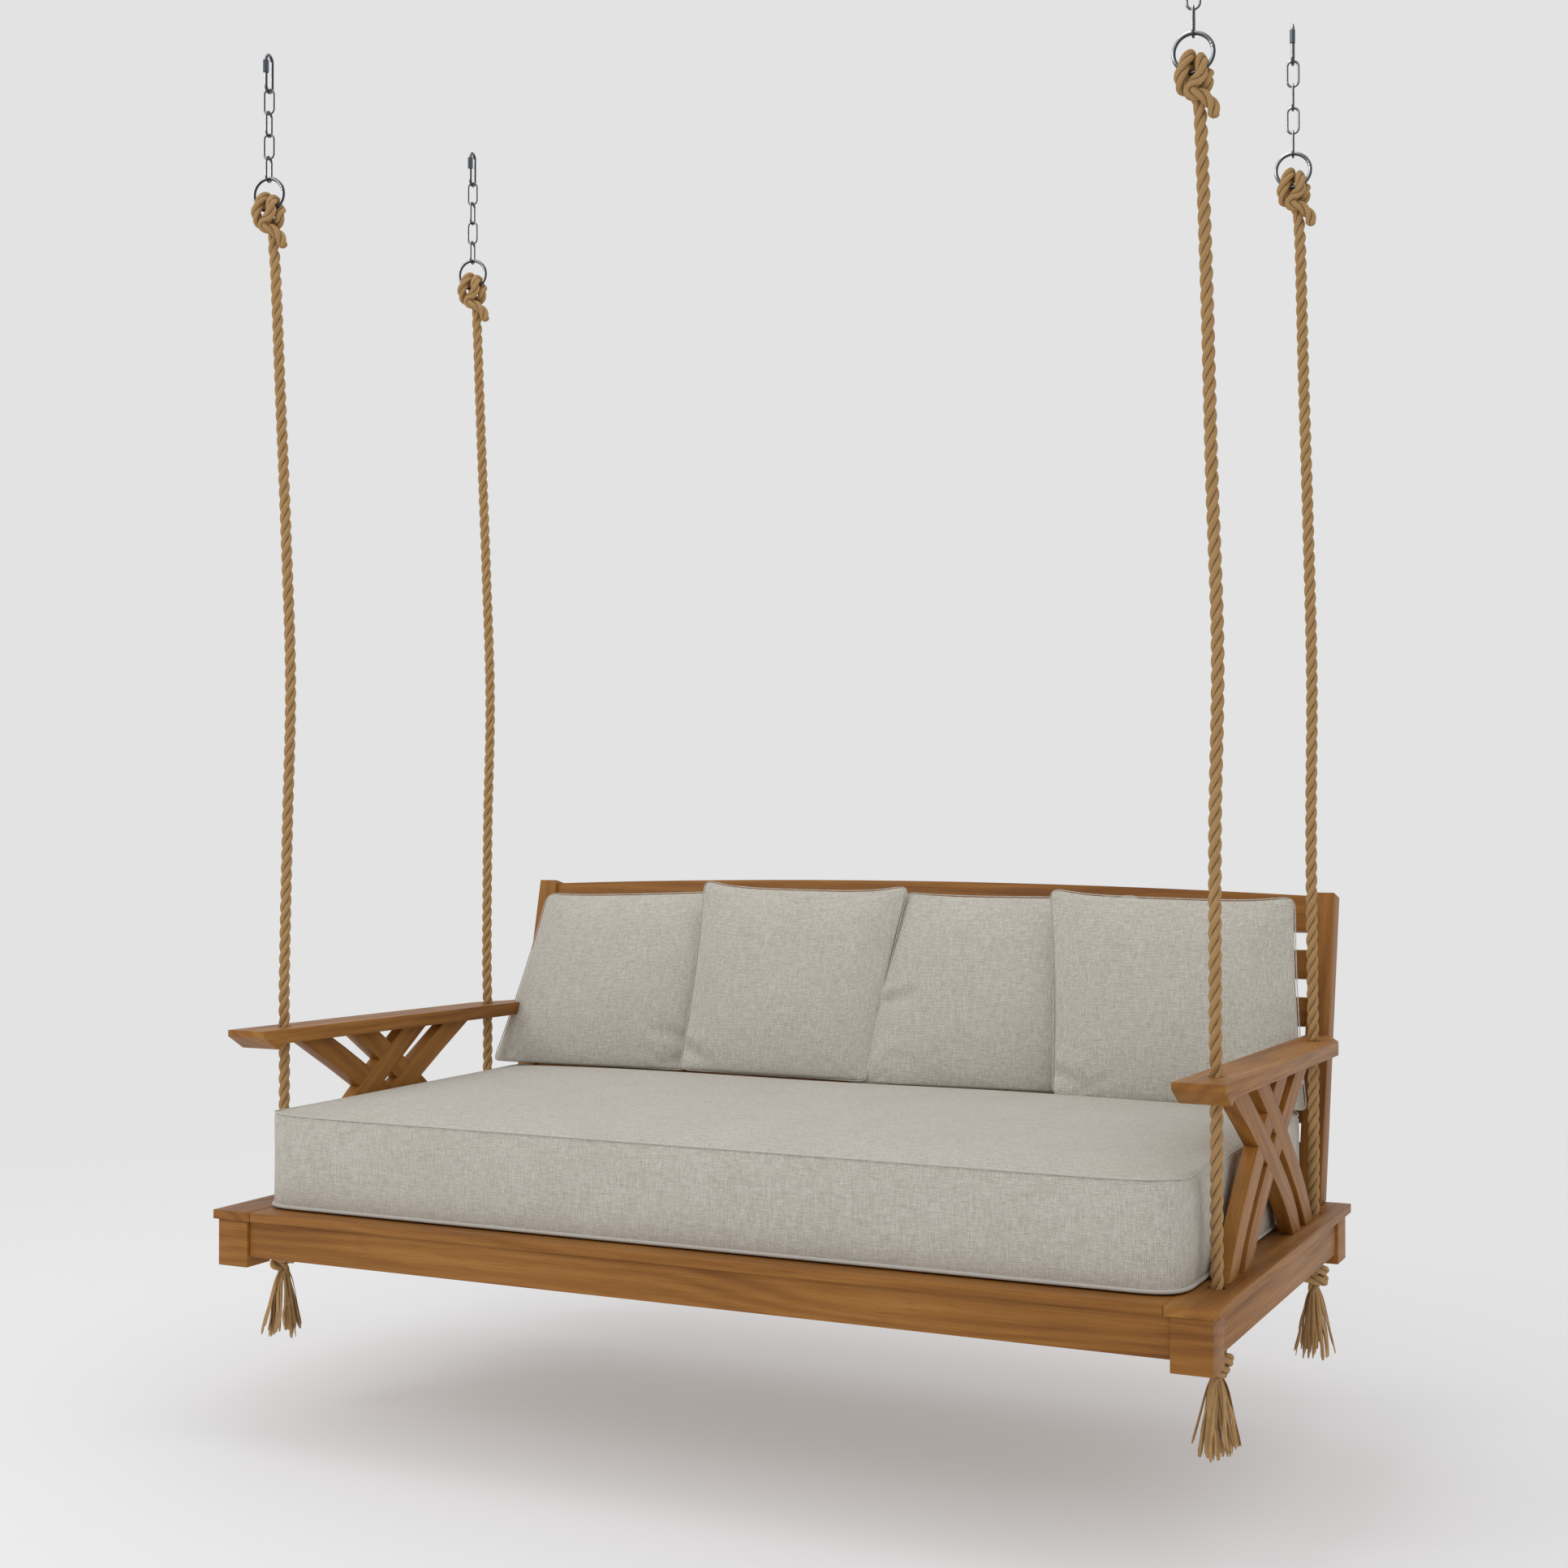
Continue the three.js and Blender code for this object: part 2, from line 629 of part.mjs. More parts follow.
function seatCushion() {
  const front = -halfDepth + CUSHION_SETBACK;
  const rear = postFootY - CUSHION_REAR_GAP;
  const [w, d, r] = [cushionHalfLength, (rear - front) / 2, CUSHION_CORNER];
  const plan = new THREE.Shape();
  plan.moveTo(-w + r, -d);
  plan.lineTo(w - r, -d);
  plan.absarc(w - r, -d + r, r, -Math.PI / 2, 0);
  plan.absarc(w - r, d - r, r, 0, Math.PI / 2);
  plan.absarc(-w + r, d - r, r, Math.PI / 2, Math.PI);
  plan.absarc(-w + r, -d + r, r, Math.PI, 1.5 * Math.PI);
  const geometry = new THREE.ExtrudeGeometry(plan, {
    depth: CUSHION_THICKNESS - 2 * CUSHION_EDGE,
    bevelThickness: CUSHION_EDGE,
    bevelSize: CUSHION_EDGE,
    bevelOffset: -CUSHION_EDGE,
    bevelSegments: 1,
    curveSegments: CUSHION_CORNER_STEPS,
  });
  return geometry.translate(0, (front + rear) / 2, CUSHION_LIFT + CUSHION_EDGE);
}

// A square pillow: thick in the middle, thin at its edges, with its corners drawn out.
function pillowShape() {
  const geometry = new THREE.BoxGeometry(1, 1, 1, PILLOW_CELLS, 1, PILLOW_CELLS);
  const place = geometry.attributes.position;
  for (let i = 0; i < place.count; i++) {
    const across = 2 * place.getX(i);
    const up = 2 * place.getZ(i);
    const fill = ((1 - across ** 2) * (1 - up ** 2)) ** PILLOW_FILL_POWER;
    const thickness = PILLOW_EDGE + (PILLOW_THICKNESS - PILLOW_EDGE) * fill;
    const waistX = PILLOW_WAIST * (1 - up ** 2);
    const waistZ = PILLOW_WAIST * (1 - across ** 2);
    place.setX(i, across * (PILLOW_WIDTH / 2 - waistX));
    place.setY(i, place.getY(i) * thickness);
    place.setZ(i, up * (PILLOW_HEIGHT / 2 - waistZ));
  }
  return geometry;
}

function softPieces() {
  const pieces = [piece("seat_cushion", seatCushion(), linen())];
  const onCushion = CUSHION_LIFT + CUSHION_THICKNESS + PILLOW_CLEAR;
  PILLOWS.forEach(({ end, inset, forward, turn }, i) => {
    const pillow = piece("pillow_" + (i + 1), pillowShape(), linen());
    pillow.position.set(0, 0, PILLOW_HEIGHT / 2 + PILLOW_EDGE / 2);
    const leaning = new THREE.Group();
    leaning.rotation.x = -PILLOW_LEAN;
    leaning.add(pillow);
    const standing = new THREE.Group();
    const x = end * (cushionHalfLength - inset);
    standing.position.set(x, postFront(onCushion) - forward, onCushion);
    standing.rotation.z = THREE.MathUtils.degToRad(turn);
    standing.add(leaning);
    pieces.push(standing);
  });
  return pieces;
}

// ---------------------------------------------------------------- hanging gear

// An oval link with a screwed mouth in its front leg. It hangs in the YZ plane.
function quickLink() {
  const bent = link(QUICK_LENGTH, QUICK_WIDTH, QUICK_WIRE, QUICK_SEGMENTS, WIRE_SIDES);
  bent.rotateZ(Math.PI / 2).translate(0, 0, (quickTopBar + quickBottomBar) / 2);
  const leg = -(QUICK_WIDTH - QUICK_WIRE) / 2;
  const middle = nutTop() - NUT_LENGTH / 2;
  const mouth = box(
    [-QUICK_WIRE, leg - QUICK_WIRE, middle - QUICK_MOUTH / 2],
    [QUICK_WIRE, leg + QUICK_WIRE, middle + QUICK_MOUTH / 2],
  );
  return geometryOf(solid(bent).subtract(solid(mouth)));
}

// The closed nut starts where the link's straight leg does.
const nutTop = () => quickTopBar - (QUICK_WIDTH - QUICK_WIRE) / 2;

// A long hexagon nut round the front leg.
function quickNut() {
  const leg = -(QUICK_WIDTH - QUICK_WIRE) / 2;
  const corner = NUT_FLATS / Math.sqrt(3);
  const outside = cylinder(corner, nutTop() - NUT_LENGTH, nutTop(), 6);
  const bore = cylinder(
    QUICK_WIRE / 2 + NUT_CLEAR,
    nutTop() - NUT_LENGTH - QUICK_WIRE,
    nutTop() + QUICK_WIRE,
    2 * WIRE_SIDES,
  );
  return geometryOf(solid(outside).subtract(solid(bore))).translate(0, leg, 0);
}

// Links at right angles to each other, touching, so that they are one solid.
function hangingChain() {
  let chain = null;
  for (let i = 0; i < CHAIN_LINKS; i++) {
    const bent = link(CHAIN_LENGTH, CHAIN_WIDTH, CHAIN_WIRE, CHAIN_SEGMENTS, CHAIN_SIDES);
    if (i % 2 === 1) bent.rotateZ(Math.PI / 2);
    bent.translate(0, 0, firstLinkBar - i * chainPitch - chainCentreLength / 2);
    chain = chain ? chain.add(solid(bent)) : solid(bent);
  }
  return geometryOf(chain);
}

function ringBody(wire) {
  const ring = new THREE.TorusGeometry(ringRadius, wire / 2, WIRE_SIDES, RING_SEGMENTS);
  return ring.rotateX(Math.PI / 2).translate(0, 0, ringCentre);
}

// An upright barrel of rope, round which the rope is wound.
function barrel(width, depth, height) {
  const profile = [];
  for (let i = 0; i <= KNOT_RINGS; i++) {
    const turn = -Math.PI / 2 + (Math.PI * i) / KNOT_RINGS;
    profile.push([Math.max(0, Math.cos(turn)) / 2, Math.sin(turn) / 2]);
  }
  profile[0][0] = 0;
  profile[KNOT_RINGS][0] = 0;
  return turned(profile, KNOT_SEGMENTS).scale(width, depth, height);
}

// Points of a hanging rope in the hook frame, from the arm hole up into the knot at the ring.
function upperRoute(corner) {
  const [side, end] = ropeAt[corner];
  const hole = side * holeX + seatPlace.x;
  const hook = side * hookX;
  const y = holeY[end] + seatPlace.y;
  const low = pivotHeight - ROPE_IN_HOLE;
  const high = SEAT_DROP + ringLowWire - TOP_KNOT_HEIGHT / 2;
  const straight = (height) => hole + ((hook - hole) * (height - low)) / (high - low);
  const points = [new THREE.Vector3(hole, y, low - SEAT_DROP)];
  for (const [height, bow] of ROPE_BOWS[corner]) {
    points.push(new THREE.Vector3(straight(height) + bow, y, height - SEAT_DROP));
  }
  points.push(new THREE.Vector3(hook + TOP_KNOT_OFFSET, y, high - SEAT_DROP));
  return points;
}

// The swinging stretch of a rope, with its knot round the ring and the knot's short tail.
function upperRope(corner) {
  const points = upperRoute(corner);
  const [side, end] = ropeAt[corner];
  const steps = Math.round((points.at(-1).z - points[0].z) / ROPE_STEP);
  const hook = side * hookX;
  const hookY = holeY[end] + seatPlace.y;
  const tailX = hook + TOP_TAIL_REACH;
  const knotTop = ringLowWire + TOP_KNOT_RISE;
  const knot = barrel(TOP_KNOT_WIDTH, TOP_KNOT_DEPTH, TOP_KNOT_HEIGHT);
  knot.translate(hook, hookY, knotTop - TOP_KNOT_HEIGHT / 2);
  const tail = tube(
    [
      new THREE.Vector3(tailX, hookY, ringLowWire - ROPE_DIAMETER),
      new THREE.Vector3(tailX, hookY, ringLowWire - TOP_TAIL_DROP),
    ],
    ROPE_DIAMETER,
    ROPE_SIDES,
    1,
  );
  const ring = ringBody(RING_WIRE + 2 * GAP);
  ring.rotateZ(GEAR_TURN).translate(hook, hookY, 0);
  const rope = solid(tube(points, ROPE_DIAMETER, ROPE_SIDES, steps));
  return geometryOf(rope.add(solid(knot)).add(solid(tail)).subtract(solid(ring)));
}

// The stretch that stays with the seat: through arm and deck to the knot and tassel, in the
// seat's frame.
function lowerRope(corner) {
  const [side, end] = ropeAt[corner];
  const knotTop = beamBottom - GAP;
  const knotBottom = knotTop - BOTTOM_KNOT_HEIGHT;
  const stretch = cylinder(
    ROPE_DIAMETER / 2,
    knotTop - BOTTOM_KNOT_HEIGHT / 2,
    pivotHeight - ROPE_IN_HOLE - GAP - ROPE_DIAMETER * Math.sin(SWING_LIMIT),
    ROPE_SIDES,
  );
  const knot = barrel(BOTTOM_KNOT_WIDTH, BOTTOM_KNOT_WIDTH, BOTTOM_KNOT_HEIGHT);
  knot.translate(0, 0, knotTop - BOTTOM_KNOT_HEIGHT / 2);
  const tassel = turned(
    [
      [0, -TASSEL_END],
      [TASSEL_END_WIDTH / 2, -TASSEL_END],
      [TASSEL_TOP_WIDTH / 2, knotBottom + ROPE_DIAMETER / 2],
      [0, knotBottom + ROPE_DIAMETER / 2],
    ],
    KNOT_SEGMENTS,
  );
  const rope = solid(stretch).add(solid(knot)).add(solid(tassel));
  return geometryOf(rope).translate(side * holeX, holeY[end], 0);
}

function hangingPieces() {
  const pieces = [];
  for (const [corner, [side, end]] of Object.entries(ropeAt)) {
    const gear = new THREE.Group();
    gear.position.set(side * hookX, holeY[end] + seatPlace.y, 0);
    gear.rotation.z = GEAR_TURN;
    gear.add(piece("quick_link_" + corner, quickLink(), steel()));
    gear.add(piece("quick_link_nut_" + corner, quickNut(), darkSteel()));
    gear.add(piece("hanging_chain_" + corner, hangingChain(), steel()));
    gear.add(piece("rope_ring_" + corner, ringBody(RING_WIRE), steel()));
    pieces.push(gear);
    pieces.push(piece("rope_upper_" + corner, upperRope(corner), ropeFibre()));
  }
  return pieces;
}

// ---------------------------------------------------------------- the swing

const seat = new THREE.Group();
seat.position.copy(seatPlace);
seat.add(...deckPieces(), ...backPieces(), ...armPieces(), ...softPieces());
for (const corner of Object.keys(ropeAt)) {
  seat.add(piece("rope_lower_" + corner, lowerRope(corner), ropeFibre()));
}

const swing = new THREE.Group();
swing.add(seat, ...hangingPieces());

export default swing;
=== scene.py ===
"""The looks of a porch swing: a teak daybed with a cushion and four pillows, hung on four ropes.

Metres, in the model's own frame: +Z up, the open front towards -Y, and the origin in the middle of
the four hooks. The wooden nodes keep their shape and get edges and grain. The soft pieces, ropes,
chains, rings and links are made here and stand for their plain solids.
"""

import math

import bpy
import numpy as np
from mathutils import Matrix, Vector


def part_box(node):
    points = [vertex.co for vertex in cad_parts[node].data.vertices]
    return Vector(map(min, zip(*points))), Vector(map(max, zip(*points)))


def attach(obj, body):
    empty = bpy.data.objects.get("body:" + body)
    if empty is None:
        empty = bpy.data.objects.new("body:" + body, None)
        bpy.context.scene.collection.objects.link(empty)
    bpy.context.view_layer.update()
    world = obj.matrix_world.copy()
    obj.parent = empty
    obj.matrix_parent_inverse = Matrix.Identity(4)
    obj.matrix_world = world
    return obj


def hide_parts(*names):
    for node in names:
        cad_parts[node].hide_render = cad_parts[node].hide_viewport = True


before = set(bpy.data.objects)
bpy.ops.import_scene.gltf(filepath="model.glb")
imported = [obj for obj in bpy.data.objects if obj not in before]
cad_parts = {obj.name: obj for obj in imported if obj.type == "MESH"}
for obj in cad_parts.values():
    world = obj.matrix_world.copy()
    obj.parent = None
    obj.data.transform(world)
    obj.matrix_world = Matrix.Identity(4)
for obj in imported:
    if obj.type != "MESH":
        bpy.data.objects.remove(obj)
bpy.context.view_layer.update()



def put(thing, **settings):
    """Sets a thing's properties by name."""
    for key, value in settings.items():
        setattr(thing, key, value)
    return thing


# ---- places from the frame

CORNERS = ("front_left", "front_right", "rear_left", "rear_right")
MM = 0.001


def centre(node):
    low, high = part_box(node)
    return (low + high) / 2


deck_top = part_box("deck_board_front")[1].z
beam_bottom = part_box("side_beam_left")[0].z
hook = {corner: centre("quick_link_" + corner) for corner in CORNERS}
hole_x = {corner: centre("deck_board_" + corner.split("_")[1]).x for corner in CORNERS}

# ---- camera

CAMERA_PLACE = (2.0418, -4.1716, -1.6419)
CAMERA_AZIMUTH = math.radians(25.737)
CAMERA_PITCH = math.radians(0.697)
LENS_MM = 50.08
SENSOR_MM = 36.0


def add_camera():
    data = put(bpy.data.cameras.new("camera"), lens=LENS_MM, sensor_width=SENSOR_MM)
    camera = put(bpy.data.objects.new("camera", data), location=CAMERA_PLACE,
                 rotation_euler=(math.pi / 2 + CAMERA_PITCH, 0, CAMERA_AZIMUTH))
    bpy.context.scene.collection.objects.link(camera)
    bpy.context.scene.camera = camera


add_camera()

# ---- node helpers


class Nodes:
    """A material's node tree, written as short calls."""

    def __init__(self, name):
        self.material = bpy.data.materials.new(name)
        self.material.use_nodes = True
        self.tree = self.material.node_tree
        self.shader = self.tree.nodes["Principled BSDF"]

    def add(self, kind, inputs=None, **settings):
        node = put(self.tree.nodes.new(kind), **settings)
        for key, value in (inputs or {}).items():
            self.set(node.inputs[key], value)
        return node

    def set(self, socket, value):
        if isinstance(value, bpy.types.NodeSocket):
            self.tree.links.new(value, socket)
        else:
            socket.default_value = value

    def math(self, operation, *values):
        node = self.add("ShaderNodeMath", operation=operation)
        for socket, value in zip(node.inputs, values):
            self.set(socket, value)
        return node.outputs[0]

    def weighted(self, *terms):
        """The sum of values, each times its weight."""
        products = [self.math("MULTIPLY", value, weight) for value, weight in terms]
        total = products[0]
        for product in products[1:]:
            total = self.math("ADD", total, product)
        return total

    def ramp(self, value, stops):
        node = self.add("ShaderNodeValToRGB", {"Fac": value})
        elements = node.color_ramp.elements
        while len(elements) < len(stops):
            elements.new(0.5)
        for element, (place, colour) in zip(elements, stops):
            element.position = place
            element.color = (*colour, 1)
        return node.outputs["Color"]

    def mix(self, share, colour, plain):
        inputs = {"Factor": share, 6: colour, 7: (*plain, 1)}
        return self.add("ShaderNodeMix", inputs, data_type="RGBA").outputs[2]

    def place(self):
        return self.add("ShaderNodeTexCoord").outputs["Object"]

    def scaled(self, vector, scale):
        return self.add("ShaderNodeMapping", {"Vector": vector, "Scale": scale}).outputs[0]

    def noise(self, vector, scale, detail, roughness):
        inputs = {"Vector": vector, "Scale": scale, "Detail": detail, "Roughness": roughness}
        return self.add("ShaderNodeTexNoise", inputs).outputs["Fac"]

    def span(self, value, source, target=(0.0, 1.0)):
        """A value's source range carried to the target range, and clamped there."""
        inputs = {"Value": value, 1: source[0], 2: source[1], 3: target[0], 4: target[1]}
        return self.add("ShaderNodeMapRange", inputs).outputs[0]

    def wave(self, value):
        """A sine, from 0 to 1."""
        return self.span(self.math("SINE", value), (-1.0, 1.0))

    def bump(self, height, depth, strength):
        inputs = {"Height": height, "Distance": depth, "Strength": strength}
        node = self.add("ShaderNodeBump", inputs)
        self.set(self.shader.inputs["Normal"], node.outputs[0])

    def finish(self, **sockets):
        for name, value in sockets.items():
            socket = self.shader.inputs[name.replace("_", " ")]
            plain = isinstance(value, tuple) and len(value) == 3
            self.set(socket, (*value, 1) if plain else value)
        return self.material


# ---- wood

TEAK_DARK = (0.155, 0.051, 0.009)
TEAK_MID = (0.295, 0.120, 0.021)
TEAK_LIGHT = (0.405, 0.184, 0.041)
TEAK_KNOT = (0.085, 0.028, 0.008)
TEAK_HEART = (0.11, 0.16)  # across and down to the middle of the growth rings
TEAK_RINGS = 260.0  # radians to a metre


def teak(name, turn, seed):
    """Oiled teak, its grain along X after the turn, cut from a plank of its own by the seed."""
    n = Nodes(name)
    turned = n.add("ShaderNodeMapping", {"Vector": n.place(), "Rotation": turn})
    shift = (seed * 1.37, (seed % 7) * 0.021 - 0.06, (seed % 5) * 0.023 - 0.05)
    moved = n.add("ShaderNodeVectorMath", {0: turned.outputs[0], 1: shift}, operation="ADD")
    drawn_out = n.scaled(moved.outputs[0], (0.16, 1.0, 1.0))
    streaks = n.scaled(moved.outputs[0], (0.022, 1.0, 1.0))
    # growth rings: cylinders about the plank's heart, pushed about by slow noise
    wander = n.noise(drawn_out, scale=5.0, detail=2.5, roughness=0.5)
    split = n.add("ShaderNodeSeparateXYZ", {"Vector": drawn_out})
    across = n.math("POWER", n.math("ADD", split.outputs[1], TEAK_HEART[0]), 2.0)
    down = n.math("POWER", n.math("ADD", split.outputs[2], TEAK_HEART[1]), 2.0)
    radius = n.math("SQRT", n.math("ADD", across, down))
    pushed = n.weighted((radius, 1.0), (wander, 0.16))
    rings = n.wave(n.math("MULTIPLY", pushed, TEAK_RINGS))
    fibres = n.noise(streaks, scale=260.0, detail=5.0, roughness=0.62)
    broad = n.noise(drawn_out, scale=9.0, detail=2.0, roughness=0.5)
    tone = n.span(n.weighted((rings, 0.15), (fibres, 0.45), (broad, 0.75)), (0.38, 0.96))
    colour = n.ramp(tone, [(0.0, TEAK_DARK), (0.5, TEAK_MID), (1.0, TEAK_LIGHT)])
    # a few knots and dark flecks
    cells = n.add("ShaderNodeTexVoronoi", {"Vector": drawn_out, "Scale": 3.4})
    knot = n.span(cells.outputs["Distance"], (0.02, 0.085), (0.75, 0.0))
    colour = n.mix(knot, colour, TEAK_KNOT)
    flecks = n.noise(streaks, scale=720.0, detail=2.0, roughness=0.5)
    pores = n.span(flecks, (0.30, 0.42), (0.55, 0.0))
    colour = n.mix(pores, colour, TEAK_DARK)
    n.bump(n.weighted((fibres, 0.7), (pores, -0.8)), depth=0.5 * MM, strength=0.35)
    return n.finish(Base_Color=colour, Roughness=n.span(fibres, (0.3, 0.7), (0.56, 0.42)),
                    Specular_IOR_Level=0.26)


ALONG_X = (0, 0, 0)
ALONG_Y = (0, 0, math.radians(90))
ALONG_POST = (math.radians(13), math.radians(90), 0)
BRACE_SLOPES = (35, 39, -39, -35)
SMALL_EDGE = 1.6 * MM
SOFT_EDGE = 3.0 * MM
EDGE_SEGMENTS = 3
EASED_EDGE = math.radians(38)  # and sharper ones are eased
SHARP_EDGE = math.radians(30)  # and sharper ones are shaded sharp
WELD_REACH = 0.02 * MM
BACK_SLATS = 5


def smooth_by_angle():
    """A node group that shades smooth, apart from its sharp edges."""
    tree = bpy.data.node_groups.new("smooth_by_angle", "GeometryNodeTree")
    for way in ("INPUT", "OUTPUT"):
        tree.interface.new_socket("Geometry", in_out=way, socket_type="NodeSocketGeometry")
    add, link = tree.nodes.new, tree.links.new
    start, end = add("NodeGroupInput"), add("NodeGroupOutput")
    faces, edges = add("GeometryNodeSetShadeSmooth"), add("GeometryNodeSetShadeSmooth")
    edges.domain = "EDGE"
    edges.inputs["Shade Smooth"].default_value = False
    angle = add("GeometryNodeInputMeshEdgeAngle")
    sharp = add("FunctionNodeCompare")
    sharp.operation = "GREATER_THAN"
    sharp.inputs[1].default_value = SHARP_EDGE
    link(angle.outputs["Unsigned Angle"], sharp.inputs[0])
    link(sharp.outputs[0], edges.inputs["Selection"])
    link(start.outputs[0], faces.inputs["Geometry"])
    link(faces.outputs[0], edges.inputs["Geometry"])
    link(edges.outputs[0], end.inputs[0])
    return tree


def finish_wood():
    """Every wooden node: its own plank of teak along its own grain, and eased edges."""
    smoothing = smooth_by_angle()
    runs = {"seat_slat_panel": (ALONG_Y, SMALL_EDGE), "back_top_rail": (ALONG_X, SOFT_EDGE)}
    for end in ("front", "rear"):
        for name in ("deck_board_", "apron_"):
            runs[name + end] = (ALONG_X, SMALL_EDGE)
    for hand in ("left", "right"):
        runs["corner_block_front_" + hand] = (ALONG_X, SMALL_EDGE)
        runs["corner_block_rear_" + hand] = (ALONG_X, SMALL_EDGE)
        runs["deck_board_" + hand] = (ALONG_Y, SMALL_EDGE)
        runs["side_beam_" + hand] = (ALONG_Y, SMALL_EDGE)
        runs["arm_" + hand] = (ALONG_Y, SOFT_EDGE)
        runs["back_post_" + hand] = (ALONG_POST, SOFT_EDGE)
        for i, slope in enumerate(BRACE_SLOPES):
            turn = (math.radians(slope), 0, math.radians(-90))
            runs[f"arm_brace_{hand}_{i + 1}"] = (turn, SMALL_EDGE)
    for i in range(BACK_SLATS):
        runs[f"back_slat_{i + 1}"] = (ALONG_X, SOFT_EDGE)
    for seed, (node, (turn, edge)) in enumerate(sorted(runs.items())):
        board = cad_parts[node]
        put(board.modifiers.new("weld", "WELD"), merge_threshold=WELD_REACH)
        put(board.modifiers.new("bevel", "BEVEL"), width=edge, segments=EDGE_SEGMENTS,
            limit_method="ANGLE", angle_limit=EASED_EDGE, use_clamp_overlap=True)
        put(board.modifiers.new("smooth", "NODES"), node_group=smoothing)
        material = teak("teak_" + node, turn, seed + 1)
        for slot in board.material_slots:
            slot.material = material


# ---- paths and sweeps


def cut_evenly(line, step, closed=False):
    """A line cut again into even steps."""
    along = np.concatenate([[0], np.cumsum(np.linalg.norm(np.diff(line, axis=0), axis=1))])
    count = round(along[-1] / step)
    places = np.linspace(0, along[-1], count if closed else max(2, count) + 1, not closed)
    return np.stack([np.interp(places, along, line[:, k]) for k in range(3)], 1)


def round_turns(count):
    """Angles of even steps round a circle."""
    return np.arange(count) * 2 * math.pi / count


def smooth_path(points, step):
    """A Catmull-Rom curve through points, cut into even steps."""
    p = np.array(points, float)
    p = np.vstack([2 * p[0] - p[1], p, 2 * p[-1] - p[-2]])
    fine = []
    for i in range(1, len(p) - 2):
        count = max(4, int(np.linalg.norm(p[i + 1] - p[i]) / step * 3))
        t = np.linspace(0, 1, count, endpoint=False)[:, None]
        a, b, c, d = p[i - 1 : i + 3]
        fine.append(0.5 * (2 * b + (c - a) * t + (2 * a - 5 * b + 4 * c - d) * t**2
                           + (3 * b - a - 3 * c + d) * t**3))
    return cut_evenly(np.vstack([*fine, p[-2]]), step)


def frames_along(path, closed=False):
    """Unit vectors across each point of a path that twist as little as they can."""
    ahead = np.roll(path, -1, 0) - np.roll(path, 1, 0)
    if not closed:
        ahead[0] = path[1] - path[0]
        ahead[-1] = path[-1] - path[-2]
    ahead /= np.linalg.norm(ahead, axis=1)[:, None]
    start = np.array((1.0, 0, 0)) if abs(ahead[0][0]) < 0.9 else np.array((0, 1.0, 0))
    across = [start - ahead[0] * (start @ ahead[0])]
    across[0] /= np.linalg.norm(across[0])
    for tangent in ahead[1:]:
        v = across[-1] - tangent * (across[-1] @ tangent)
        across.append(v / np.linalg.norm(v))
    across = np.array(across)
    return across, np.cross(ahead, across)


def ring_quads(rings, points, closed):
    """The quads between rings of points."""
    i = np.arange(rings if closed else rings - 1)[:, None] * points
    j = np.arange(points)[None]
    k = (j + 1) % points
    after = (i + points) % (rings * points)
    return np.stack([i + j, i + k, after + k, after + j], -1).reshape(-1, 4).tolist()


def sweep(path, sections, closed=False):
    """Vertices and faces of sections (rings by points by 2) carried along a path."""
    across, up = frames_along(path, closed)
    rings, points = sections.shape[:2]
    at = path[:, None] + sections[:, :, :1] * across[:, None] + sections[:, :, 1:] * up[:, None]
    faces = ring_quads(rings, points, closed)
    if not closed:
        faces.append(list(range(points))[::-1])
        faces.append(list(range((rings - 1) * points, rings * points)))
    return at.reshape(-1, 3), faces


def round_sections(rings, sides, radius):
    """Round sections, with one radius or a radius for each ring."""
    turn = round_turns(sides)
    ring = np.stack([np.cos(turn), np.sin(turn)], 1)
    return np.broadcast_to(np.asarray(radius, float).reshape(-1, 1, 1), (rings, 1, 1)) * ring[None]


def joined(parts):
    """Several (vertices, faces) as one."""
    vertices = np.vstack([v for v, _ in parts])
    faces = []
    base = 0
    for v, f in parts:
        faces += [[base + i for i in face] for face in f]
        base += len(v)
    return vertices, faces


def add_piece(name, vertices, faces, material, smooth=True, place=None):
    mesh = bpy.data.meshes.new(name)
    mesh.from_pydata(np.asarray(vertices).tolist(), [], faces)
    mesh.materials.append(material)
    mesh.polygons.foreach_set("use_smooth", [smooth] * len(mesh.polygons))
    mesh.update()
    piece = bpy.data.objects.new(name, mesh)
    if place is not None:
        piece.matrix_world = place
    bpy.context.scene.collection.objects.link(piece)
    return piece


def declare(piece, body, node=None):
    """The body that carries a piece, and the solid that it stands for, if any."""
    if node:
        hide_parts(node)
    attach(piece, body)


def put_attribute(piece, name, values):
    kind, key = ("FLOAT", "value") if values.ndim == 1 else ("FLOAT_VECTOR", "vector")
    attribute = piece.data.attributes.new(name, kind, "POINT")
    attribute.data.foreach_set(key, values.astype(np.float32).ravel())


# ---- rope

ROPE_DIAMETER = 24 * MM
ROPE_LAY = 84 * MM  # one full turn of a strand
ROPE_STEP = 3.2 * MM
ROPE_SIDES = 42
STRANDS = 3
STRAND_SHARE = 0.505  # of a strand's radius in the rope's
ROPE_LOW = 0.352  # over the deck, inside the arm, where the swinging stretch starts
KNOT_BOTTOM = 46 * MM  # under the ring's lowest wire, where the rope runs into its knot

# How far each rope bows sideways from the straight line between its two ends, at these heights over
# the deck.
BOW_HEIGHTS = (0.480, 0.800, 1.110, 1.430, 1.750, 2.000)
ROPE_BOWS = {
    "front_left": (0.003, 0.019, 0.035, 0.031, 0.023, 0.017),
    "front_right": (0.001, 0.008, 0.020, 0.017, 0.016, 0.013),
    "rear_left": (0.001, 0.012, 0.027, 0.024, 0.018, 0.014),
    "rear_right": (0.001, 0.006, 0.015, 0.015, 0.013, 0.013),
}

